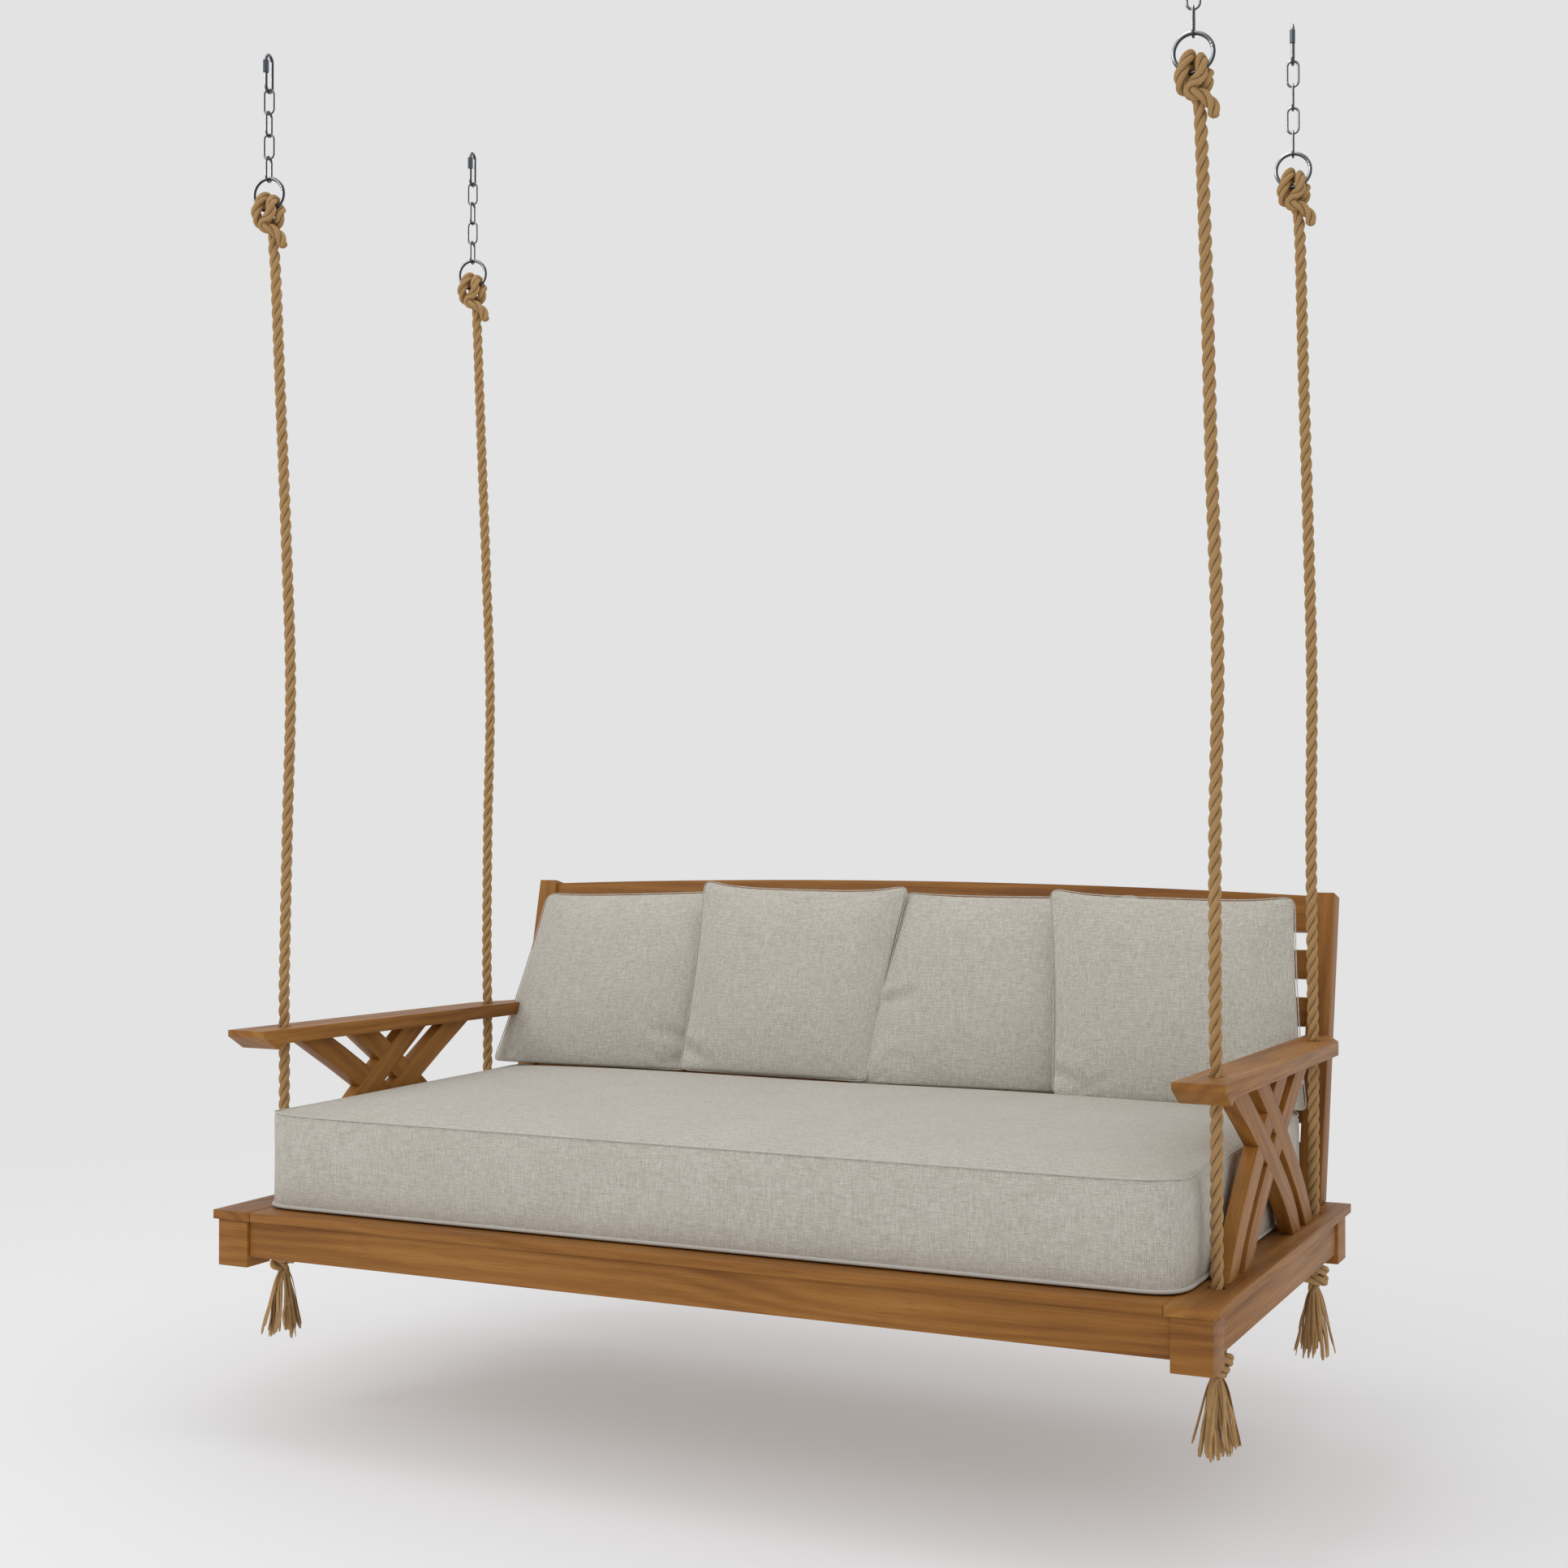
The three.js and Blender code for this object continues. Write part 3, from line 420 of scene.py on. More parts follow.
# The knot round the ring, in millimetres from the ring's lowest wire: along the wire, away from
# the front, and up. Up behind the wire, over it, round itself, over the wire again, and out.
RING_KNOT = [
    (12, 1, -82), (11, 3, -62), (6, 10, -43), (-4, 16, -21), (-8, 18, 3), (-7, 12, 21),
    (-6, 0, 29), (-9, -13, 21), (-15, -18, 6), (-21, -16, -11), (-20, -5, -26), (-9, 9, -34),
    (7, 12, -34), (19, 8, -27), (25, 0, -16), (24, 9, -3), (18, 15, 8), (14, 9, 18),
    (12, -3, 21), (15, -15, 11), (16, -20, -5), (11, -19, -18), (-1, -16, -27), (-5, -14, -37),
    (5, -15, -43), (17, -13, -47), (28, -10, -56), (35, -7, -68), (38, -4, -86),
]
# The stopper knot: a coil, from its first point under the beam down, and a tail inside the tassel.
STOPPER_RADIUS = 19 * MM
STOPPER_START = -0.9
STOPPER_TURN = math.radians(620)
STOPPER_POINTS = 20
STOPPER_DROP = 13 * MM
STOPPER_FALL = 34 * MM
STOPPER_TAIL = (54 * MM, 80 * MM)
STOPPER_LEAD = 12 * MM  # the last straight point, up in the beam's hole
BEAM_GAP = 0.4 * MM
PLUMB = 0.1  # of straight rope under the arm and over the deck
ROPE_END_SHARES = (0.35, 0.75, 0.93)  # of the last sections, from an end inwards
GEAR_TURN = math.radians(10)  # of the rings and links about the vertical

ROPE_LIGHT = (0.520, 0.330, 0.150)
ROPE_MID = (0.370, 0.215, 0.085)
ROPE_GROOVE_SHADE = (0.090, 0.042, 0.012)


def rope_material():
    n = Nodes("rope")
    lay = n.add("ShaderNodeAttribute", attribute_name="lay").outputs["Vector"]
    depth = n.add("ShaderNodeAttribute", attribute_name="groove").outputs["Fac"]
    split = n.add("ShaderNodeSeparateXYZ", {"Vector": lay})
    # yarns run against the strand's twist
    yarns = n.wave(n.weighted((split.outputs[0], 1250.0), (split.outputs[1], 340.0)))
    fibres = n.noise(n.scaled(lay, (1.0, 0.12, 1.0)), scale=900.0, detail=3.0, roughness=0.6)
    blotches = n.noise(n.place(), scale=38.0, detail=3.0, roughness=0.6)
    tone = n.span(n.weighted((yarns, 0.22), (fibres, 0.42), (blotches, 0.40)), (0.28, 0.82))
    colour = n.ramp(tone, [(0.0, ROPE_MID), (1.0, ROPE_LIGHT)])
    # painted shade: the colour darkens deep in the grooves between the strands
    colour = n.mix(n.span(depth, (0.55, 1.0), (0.0, 0.45)), colour, ROPE_GROOVE_SHADE)
    n.bump(n.weighted((yarns, 0.7), (fibres, 0.6)), depth=1.1 * MM, strength=0.85)
    return n.finish(Base_Color=colour, Roughness=0.86, Specular_IOR_Level=0.25)


def strand_sections(along):
    """Three-strand sections turned by the lay, with each point's place on its strand."""
    radius = ROPE_DIAMETER / 2
    share = 2 * math.pi / STRANDS
    turn = round_turns(ROPE_SIDES)
    twist = 2 * math.pi * along / ROPE_LAY
    local = turn[None] - twist[:, None]
    side = (local + share / 2) % share - share / 2
    strand = STRAND_SHARE * radius
    off = radius - strand
    reach = off * np.cos(side) + np.sqrt(np.maximum(strand**2 - (off * np.sin(side)) ** 2, 0))
    sections = np.stack([reach * np.cos(turn), reach * np.sin(turn)], -1)
    round_strand = np.arctan2(reach * np.sin(side), reach * np.cos(side) - off) * strand
    lay = np.stack([round_strand, np.broadcast_to(along[:, None], reach.shape),
                    np.floor((local + share / 2) / share)], -1)
    groove = (radius - reach) / (radius - reach.min())
    return sections, lay, groove


def rope_piece(name, points, material):
    """A three-strand rope along points, and the path that its rings follow."""
    path = smooth_path(points, ROPE_STEP)
    along = np.arange(len(path)) * ROPE_STEP
    sections, lay, groove = strand_sections(along)
    # both ends are bound and rounded
    for i, share in enumerate(ROPE_END_SHARES):
        sections[i] *= share
        sections[-1 - i] *= share
    piece = add_piece(name, *sweep(path, sections), material)
    put_attribute(piece, "lay", lay.reshape(-1, 3))
    put_attribute(piece, "groove", groove.ravel())
    return piece, path


def wire_place(corner, along, away, up):
    """A point given from the lowest wire of a corner's ring."""
    low_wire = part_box("rope_ring_" + corner)[0].z + RING_WIRE / 2
    x = along * math.cos(GEAR_TURN) - away * math.sin(GEAR_TURN)
    y = along * math.sin(GEAR_TURN) + away * math.cos(GEAR_TURN)
    return hook[corner].x + x * MM, hook[corner].y + y * MM, low_wire + up * MM


def declare_rope(piece, node, body):
    declare(piece, body, node)


def upper_rope(corner, material):
    """From the arm's hole up to the ring, and the knot that holds it there."""
    y = hook[corner].y
    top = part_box("rope_ring_" + corner)[0].z + RING_WIRE / 2 - KNOT_BOTTOM - deck_top
    run = (hook[corner].x - hole_x[corner]) / (top - ROPE_LOW)
    points = [(hole_x[corner], y, deck_top + ROPE_LOW)]
    for height, bow in zip(BOW_HEIGHTS, ROPE_BOWS[corner]):
        x = hole_x[corner] + run * (height - ROPE_LOW) + bow
        points.append((x, y, deck_top + height))
    points += [wire_place(corner, *point) for point in RING_KNOT]
    piece, path = rope_piece("rope_" + corner, points, material)
    declare_rope(piece, "rope_upper_" + corner, "rope_" + corner)


TASSEL_STRIPS = 34
TASSEL_LENGTH = 152 * MM
TASSEL_TOP = 148 * MM  # below the deck's top, inside the knot
GOLDEN_ANGLE = 2.399963
YARN_STEP = 9 * MM
YARN_THICKNESS = 1.7 * MM
YARN_END = 0.55  # of its last section
YARN_SHARES = (0, 0.18, 0.38, 0.58, 0.78, 1.0)
YARN_SECTION = np.array([(0.5, 0.28), (0.2, 0.5), (-0.2, 0.5), (-0.5, 0.28),
                         (-0.5, -0.28), (-0.2, -0.5), (0.2, -0.5), (0.5, -0.28)])
KINK_RUN = 0.16
WIDE_EVERY = 4


def yarn_strip(random, number, top):
    """A flat bundle of yarn: out of the knot and down, with one kink and a slow twist."""
    turn = number * GOLDEN_ANGLE + random.uniform(-0.3, 0.3)
    inner = random.uniform(5, 15) * MM
    spread = random.uniform(8, 36) * MM
    long = TASSEL_LENGTH * random.uniform(0.80, 1.0)
    width = random.uniform(4.5, 8.0) * MM
    if number % WIDE_EVERY == 0:
        width = random.uniform(9.5, 14.0) * MM
        spread *= 0.8
    kink = random.uniform(-8, 8) * MM
    kink_at = random.uniform(0.5, 0.85)
    outward = np.array((math.cos(turn), math.sin(turn), 0))
    sideways = np.array((-math.sin(turn), math.cos(turn), 0))
    points = []
    for share in YARN_SHARES:
        out = inner * min(1, 0.35 + 3 * share) + spread * share**1.1
        bend = kink * math.exp(-((share - kink_at) / KINK_RUN) ** 2)
        drop = np.array((0, 0, -long * share))
        points.append(np.array(top) + outward * out + sideways * bend + drop)
    path = smooth_path(points, YARN_STEP)
    rings = len(path)
    taper = np.ones(rings)
    taper[-1] = YARN_END
    across, _ = frames_along(path)
    angle = math.atan2(float(sideways @ np.cross((0, 0, -1), across[0])),
                       float(sideways @ across[0]))
    twist = angle + random.uniform(-0.5, 0.5) + np.linspace(0, random.uniform(-0.8, 0.8), rings)
    x, y = (YARN_SECTION * (width, YARN_THICKNESS)).T
    cos, sin = np.cos(twist)[:, None], np.sin(twist)[:, None]
    sections = np.stack([x * cos - y * sin, x * sin + y * cos], -1) * taper[:, None, None]
    return sweep(path, sections)


def tassel(corner, seed, material):
    """The frayed end: flat bundles of yarn that part below the knot."""
    random = np.random.default_rng(seed)
    top = (hole_x[corner], hook[corner].y, deck_top - TASSEL_TOP)
    strips = joined([yarn_strip(random, i, top) for i in range(TASSEL_STRIPS)])
    piece = add_piece("tassel_" + corner, *strips, material)
    declare(piece, "seat")
    return piece


def tassel_material():
    n = Nodes("rope_yarn")
    drawn = n.scaled(n.place(), (1.0, 1.0, 0.05))
    fibres = n.noise(drawn, scale=700.0, detail=4.0, roughness=0.6)
    blotches = n.noise(n.place(), scale=45.0, detail=2.0, roughness=0.5)
    tone = n.span(n.weighted((fibres, 0.6), (blotches, 0.5)), (0.35, 0.75))
    colour = n.ramp(tone, [(0.0, ROPE_MID), (1.0, ROPE_LIGHT)])
    n.bump(fibres, depth=0.8 * MM, strength=0.6)
    return n.finish(Base_Color=colour, Roughness=0.8, Specular_IOR_Level=0.3)


def lower_rope(corner, seed, material, yarn):
    """From the arm's hole down through the deck to the stopper knot and its tassel."""
    x, y = hole_x[corner], hook[corner].y
    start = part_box("rope_lower_" + corner)[1].z
    knot_top = beam_bottom - BEAM_GAP
    heights = (start, start - PLUMB, deck_top + PLUMB, deck_top, knot_top + STOPPER_LEAD)
    points = [(x, y, z) for z in heights]
    for i in range(STOPPER_POINTS + 1):
        share = i / STOPPER_POINTS
        turn = STOPPER_START + seed + STOPPER_TURN * share
        radius = STOPPER_RADIUS * (1 if i else 0.5)
        z = knot_top - STOPPER_DROP - STOPPER_FALL * share
        points.append((x + radius * math.cos(turn), y + radius * math.sin(turn), z))
    points += [(x, y, knot_top - drop) for drop in STOPPER_TAIL]
    piece, path = rope_piece("rope_end_" + corner, points, material)
    end = tassel(corner, seed, yarn)
    declare_rope(piece, "rope_lower_" + corner, "seat")


# ---- rings, chains and quick links

RING_WIRE = 8 * MM
RING_RADIUS = 35 * MM
CHAIN_WIRE = 5 * MM
CHAIN_LENGTH = 59 * MM
CHAIN_WIDTH = 28 * MM
CHAIN_LINKS = 4
CHAIN_PITCH = 49.2 * MM
QUICK_WIRE = 7 * MM
QUICK_LENGTH = 88 * MM
QUICK_WIDTH = 34 * MM
QUICK_MOUTH = 11 * MM
NUT_FLATS = 11 * MM
WIRE_SIDES = 20
RING_POINTS = 120
RING_WELD = 0.35  # its place round the ring
CHAIN_STEP = 1.5 * MM
LINK_STEP = 0.5  # this and the thread's reach and pitch in millimetres
THREAD_REACH = 9
THREAD_PITCH = 1.5
THREAD_DEPTH = 0.3 * MM
BLUNT_END = 0.8
NUT_POINTS = 60
NUT_PLAY = 0.25 * MM
NUT_BORE_CHAMFER = 0.6 * MM

# Painted reflections: grey by how squarely a face looks along the light, from 0 to 1, with dark
# edges and a painted highlight band.
STEEL_PAINTED_REFLECTIONS = ((0.0, 0.05), (0.45, 0.10), (0.70, 0.17), (0.86, 0.85), (1.0, 0.60))
NUT_PAINTED_REFLECTIONS = ((0.0, 0.05), (0.3, 0.08), (0.7, 0.22), (1.0, 0.14))
LIT_FROM = (-0.35, -0.80, 0.49)


def steel_material(name, tint, bands, roughness):
    """Zinc plate with its reflections painted in: its sides that lie along the light are painted
    darker, and a painted highlight where they face it.
    """
    n = Nodes(name)
    coordinates = n.add("ShaderNodeTexCoord")
    inputs = {0: coordinates.outputs["Normal"], 1: LIT_FROM}
    lit = n.add("ShaderNodeVectorMath", inputs, operation="DOT_PRODUCT")
    clouds = n.noise(coordinates.outputs["Object"], scale=300.0, detail=3.0, roughness=0.5)
    facing = n.math("ADD", n.math("ABSOLUTE", lit.outputs["Value"]),
                    n.span(clouds, (0.3, 0.7), (-0.03, 0.03)))
    # painted reflections: each face's grey is taken from the bands by how squarely it faces a fixed
    # light
    shade = n.ramp(facing, [(at, tuple(grey * c for c in tint)) for at, grey in bands])
    n.bump(clouds, depth=0.04 * MM, strength=0.12)
    return n.finish(Base_Color=shade, Roughness=n.span(clouds, (0.3, 0.7), roughness),
                    Metallic=1.0)


def stadium(length, width, wire, step, gap_from=None, gap_to=None):
    """Middle line of an oval link in the XZ plane, from its top. A gap's heights leave it open."""
    radius = (width - wire) / 2
    leg = (length - width) / 2
    arc = math.pi * radius
    whole = 2 * arc + 4 * leg
    points = []
    for s in np.arange(0, whole, whole / max(24, round(whole / step))):
        # the second half is the first, turned half a turn
        half, s = divmod(s, whole / 2)
        flip = -1 if half else 1
        if s < arc / 2:
            x, z = radius * math.sin(s / radius), leg + radius * math.cos(s / radius)
        elif s < arc / 2 + 2 * leg:
            x, z = radius, leg - (s - arc / 2)
        else:
            turn = (s - arc / 2 - 2 * leg) / radius
            x, z = radius * math.cos(turn), -leg - radius * math.sin(turn)
        points.append((flip * x, 0, flip * z))
    path = np.array(points)
    if gap_from is None:
        return path
    on_leg = (path[:, 0] < -radius + wire / 10) & (path[:, 2] > gap_from) & (path[:, 2] < gap_to)
    after = int(np.flatnonzero(on_leg)[-1]) + 1
    kept = np.roll(path, -after, 0)[: len(path) - on_leg.sum()]
    kept[0, 2], kept[-1, 2] = gap_to, gap_from
    return kept


def weld_bulge(distance, wire):
    """Extra radius near a butt weld: two low lips with a groove between them."""
    lip = np.exp(-((np.abs(distance) - 0.30 * wire) / (0.16 * wire)) ** 2)
    return wire * (0.05 * lip - 0.05 * np.exp(-((distance / (0.10 * wire)) ** 2)))


def wire(path, radius, closed=True):
    return sweep(path, round_sections(len(path), WIRE_SIDES, radius), closed)


def turned_about(shape, angle, place):
    vertices, faces = shape
    turn = np.array(Matrix.Rotation(angle, 3, "Z"))
    return vertices @ turn.T + np.array(place), faces


def rope_ring(corner, material):
    """The welded ring that carries the rope."""
    place = centre("rope_ring_" + corner)
    turn = round_turns(RING_POINTS)
    path = np.stack([RING_RADIUS * np.cos(turn), 0 * turn, RING_RADIUS * np.sin(turn)], 1)
    weld = ((turn - RING_WELD + math.pi) % (2 * math.pi) - math.pi) * RING_RADIUS
    radius = RING_WIRE / 2 + weld_bulge(weld, RING_WIRE)
    ring = turned_about(wire(path, radius), GEAR_TURN, place)
    piece = add_piece("ring_" + corner, *ring, material)
    declare(piece, "rope_" + corner, "rope_ring_" + corner)


def chain(corner, material):
    """Four long links, each with its weld half way up one leg."""
    low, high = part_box("hanging_chain_" + corner)
    middle = (low + high) / 2
    top = high.z - CHAIN_LENGTH / 2
    parts = []
    for i in range(CHAIN_LINKS):
        path = stadium(CHAIN_LENGTH, CHAIN_WIDTH, CHAIN_WIRE, CHAIN_STEP)
        weld = np.where(path[:, 0] < 0, path[:, 2], 1.0)
        radius = CHAIN_WIRE / 2 + weld_bulge(weld, CHAIN_WIRE)
        angle = GEAR_TURN + (math.pi / 2 if i % 2 else 0)
        place = (middle.x, middle.y, top - i * CHAIN_PITCH)
        parts.append(turned_about(wire(path, radius), angle, place))
    piece = add_piece("chain_links_" + corner, *joined(parts), material)
    declare(piece, "rope_" + corner, "hanging_chain_" + corner)


def quick_link(corner, material):
    """The oval link, open at its mouth, with threads on both ends of the mouth."""
    place = centre("quick_link_" + corner)
    nut_low, nut_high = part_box("quick_link_nut_" + corner)
    mouth = (nut_low.z + nut_high.z) / 2 - place.z
    path = stadium(QUICK_LENGTH, QUICK_WIDTH, QUICK_WIRE, LINK_STEP * MM,
                   mouth - QUICK_MOUTH / 2, mouth + QUICK_MOUTH / 2)
    along = np.arange(len(path)) * LINK_STEP
    radius = np.full(len(path), QUICK_WIRE / 2)
    threaded = (along < THREAD_REACH) | (along > along[-1] - THREAD_REACH)
    radius[threaded] -= THREAD_DEPTH * (along[threaded] % THREAD_PITCH < THREAD_PITCH / 2)
    radius[[0, -1]] *= BLUNT_END
    link = turned_about(wire(path, radius, closed=False), GEAR_TURN + math.pi / 2, place)
    piece = add_piece("oval_link_" + corner, *link, material)
    declare(piece, "hang_points", "quick_link_" + corner)


def quick_nut(corner, material):
    """The long hexagon nut: a chamfered prism with a bore."""
    low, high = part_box("quick_link_nut_" + corner)
    middle = (low + high) / 2
    half = (high.z - low.z) / 2
    turn = round_turns(NUT_POINTS)
    flat = (turn + math.pi / 6) % (math.pi / 3) - math.pi / 6
    hexagon = NUT_FLATS / 2 / np.cos(flat)
    corner_radius = NUT_FLATS / math.sqrt(3)
    bore = QUICK_WIRE / 2 + NUT_PLAY
    # from the bore's mouth to the long edges: how far in from the end, and the radius
    end = [(0, bore + 0.5 * MM), (0, NUT_FLATS / 2 - 0.2 * MM),
           (0.5 * MM, corner_radius - 0.35 * MM), (1.3 * MM, corner_radius)]
    profile = [(-half + inward, radius) for inward, radius in end]
    profile += [(half - inward, radius) for inward, radius in end[::-1]]
    profile += [(half - NUT_BORE_CHAMFER, bore), (-half + NUT_BORE_CHAMFER, bore)]
    rings = []
    for z, limit in profile:
        r = np.minimum(hexagon, limit)
        rings.append(np.stack([r * np.cos(turn), r * np.sin(turn), np.full(NUT_POINTS, z)], 1))
    nut = np.vstack(rings), ring_quads(len(rings), NUT_POINTS, closed=True)
    piece = add_piece("hexagon_sleeve_" + corner, *turned_about(nut, GEAR_TURN, middle), material,
                      smooth=False)
    declare(piece, "nut_" + corner, "quick_link_nut_" + corner)


# ---- cloth

LINEN_LIGHT = (0.700, 0.670, 0.605)
LINEN_DARK = (0.370, 0.345, 0.290)
PIPING_DARK = (0.42, 0.40, 0.36)
PIPING_LIGHT = (0.66, 0.64, 0.59)
WEAVE_PITCH = 2.6 * MM
WEAVE_WOBBLE = 3.5 * MM
SEAM_SIDES = 8
CLOTH_FRAMES = 20
CLOTH_SETTINGS = {"quality": 4, "mass": 0.35, "air_damping": 3.0, "use_pressure": True,
                  "vertex_group_mass": "held"}


def linen_material():
    """Slubby plain weave: threads along each axis of the piece, on the faces that lie along it."""
    n = Nodes("linen")
    coordinates = n.add("ShaderNodeTexCoord")
    place = coordinates.outputs["Object"]
    facing = n.add("ShaderNodeSeparateXYZ", {"Vector": coordinates.outputs["Normal"]})
    wobble = n.add("ShaderNodeTexNoise", {"Vector": place, "Scale": 60.0, "Detail": 2.0})
    inputs = {0: wobble.outputs["Color"], 1: (WEAVE_WOBBLE,) * 3, 2: place}
    shifted = n.add("ShaderNodeVectorMath", inputs, operation="MULTIPLY_ADD")
    axes = n.add("ShaderNodeSeparateXYZ", {"Vector": shifted.outputs[0]})
    waves = []
    for k in range(3):
        wave = n.math("SINE", n.math("MULTIPLY", axes.outputs[k], 2 * math.pi / WEAVE_PITCH))
        lies = n.math("POWER", n.math("ABSOLUTE", facing.outputs[k]), 2.0)
        waves.append((wave, n.math("SUBTRACT", 1.0, lies)))
    weave = n.span(n.weighted(*waves), (-2.0, 2.0))
    # slubs: thick places in the threads, drawn out along and across
    slub = {"scale": 270.0, "detail": 3.0, "roughness": 0.65}
    slub_x = n.noise(n.scaled(place, (0.17, 1, 1)), **slub)
    slub_z = n.noise(n.scaled(place, (1, 0.4, 0.17)), **slub)
    slubs = n.weighted((slub_x, 0.5), (slub_z, 0.5))
    specks = n.noise(place, scale=330.0, detail=3.0, roughness=0.7)
    cloudy = n.noise(place, scale=7.0, detail=3.0, roughness=0.5)
    tone = n.weighted((weave, 0.48), (slubs, 0.80), (specks, 0.38), (cloudy, 0.08))
    colour = n.ramp(n.span(tone, (0.71, 1.03)), [(0.0, LINEN_DARK), (1.0, LINEN_LIGHT)])
    n.bump(n.weighted((weave, 0.8), (slubs, 0.7)), depth=1.1 * MM, strength=0.7)
    return n.finish(Base_Color=colour, Roughness=0.92, Specular_IOR_Level=0.2,
                    Sheen_Weight=0.12, Sheen_Roughness=0.5)


def piping_material():
    n = Nodes("linen_piping")
    threads = n.noise(n.place(), scale=620.0, detail=3.0, roughness=0.7)
    colour = n.ramp(n.span(threads, (0.3, 0.7)), [(0.0, PIPING_DARK), (1.0, PIPING_LIGHT)])
    n.bump(threads, depth=0.6 * MM, strength=0.6)
    return n.finish(Base_Color=colour, Roughness=0.9, Specular_IOR_Level=0.2)


def get_points(mesh):
    flat = np.zeros(len(mesh.vertices) * 3, np.float32)
    mesh.vertices.foreach_get("co", flat)
    return flat.reshape(-1, 3)


def blow_up(piece, pinned, pressure, caps, stiffness, bending):
    """Fills a closed cover by cloth simulation. Pinned points stay, the others keep to caps."""
    start = get_points(piece.data).astype(float)
    group = piece.vertex_groups.new(name=CLOTH_SETTINGS["vertex_group_mass"])
    for weight in np.unique(pinned[pinned > 0]):
        group.add(np.flatnonzero(pinned == weight).tolist(), float(weight), "REPLACE")
    cloth = piece.modifiers.new("cloth", "CLOTH")
    put(cloth.settings, **CLOTH_SETTINGS, tension_stiffness=stiffness,
        compression_stiffness=stiffness, shear_stiffness=stiffness / 3,
        bending_stiffness=bending, uniform_pressure_force=pressure)
    cloth.settings.effector_weights.gravity = 0
    cloth.collision_settings.use_collision = False
    put(cloth.point_cache, frame_start=1, frame_end=CLOTH_FRAMES)
    scene = bpy.context.scene
    for i in range(1, CLOTH_FRAMES + 1):
        scene.frame_set(i)
    settled = piece.evaluated_get(bpy.context.evaluated_depsgraph_get())
    found = get_points(settled.data).astype(float)
    piece.modifiers.remove(cloth)
    scene.frame_set(1)
    move = found - start
    size = np.linalg.norm(move, axis=1)
    # a soft cap: small moves stay as they are, and large ones close in on the cap
    kept = caps * np.tanh(size / np.maximum(caps, 1e-6))
    return start + move * (kept / np.maximum(size, 1e-9))[:, None]


def set_points(piece, points):
    piece.data.vertices.foreach_set("co", points.astype(np.float32).ravel())
    piece.data.update()


def one_subdivision(piece):
    put(piece.modifiers.new("finer", "SUBSURF"), levels=1, render_levels=1)


def seam_tube(name, loop, radius, material):
    """A thin round seam or piping along a closed loop of points."""
    tube = sweep(loop, round_sections(len(loop), SEAM_SIDES, radius), closed=True)
    declare(add_piece(name, *tube, material), "seat")


def grid_rim(places, nx, ny, third):
    """Indices of the outer places of a grid at one level, in order round it."""
    index = {tuple(place): i for i, place in enumerate(places.tolist())}
    rim = [(i, 0) for i in range(nx)] + [(nx, j) for j in range(ny)]
    rim += [(i, ny) for i in range(nx, 0, -1)] + [(0, j) for j in range(ny, 0, -1)]
    return [index[(i, j, third)] for i, j in rim]


CUSHION_CELL = 16 * MM
CUSHION_CORNER = 62 * MM
CUSHION_FULLNESS = 9 * MM  # of the top before it is blown up
CUSHION_CROWN = 18 * MM
CUSHION_SIDE_BULGE = 9 * MM
SEAM_INSET = 4 * MM
SEAM_STEP = 6 * MM
RIM_HOLD = 0.9  # how firmly the top's rim is held, where the bottom's hold is 1
PRESSED_FROM = 0.05  # behind the pillows' middle, where the top starts to be pressed down
PRESSED_OVER = 0.2
PRESSED_SHARE = 0.6
SWELL = 1.6 * MM
FACE_WAVE = 1.5 * MM
CORNER_EAR = 5 * MM
# The cushion's seams: whether on top, tube radius, and how far out and up from the rim.
CUSHION_SEAMS = {"cushion_piping": (False, 4.2 * MM, 1.5 * MM, 4.2 * MM),
                 "cushion_top_seam": (True, 1.7 * MM, 0, 0.2 * MM)}


def lattice_shell(counts):
    """Lattice points on a box's surface and the quads between them."""
    nx, ny, nz = counts
    index = {}
    faces = []

    def add(places, flip):
        quad = [index.setdefault(place, len(index)) for place in places]
        faces.append(quad[::-1] if flip else quad)

    for i in range(nx):
        for j in range(ny):
            for k in (0, nz):
                add([(i, j, k), (i + 1, j, k), (i + 1, j + 1, k), (i, j + 1, k)], k == 0)
    for k in range(nz):
        for i in range(nx):
            for j in (0, ny):
                add([(i, j, k), (i + 1, j, k), (i + 1, j, k + 1), (i, j, k + 1)], j == ny)
        for j in range(ny):
            for i in (0, nx):
                add([(i, j, k), (i, j + 1, k), (i, j + 1, k + 1), (i, j, k + 1)], i == 0)
    return np.array(list(index)), faces


def round_plan(flat, half, radius):
    """Points of a rectangle moved so that its corners are round."""
    core = np.clip(flat, -(half - radius), half - radius)
    out = flat - core
    far = np.linalg.norm(out, axis=1)
    square = np.abs(out).max(1)
    return core + out * (square / np.maximum(far, 1e-9))[:, None]


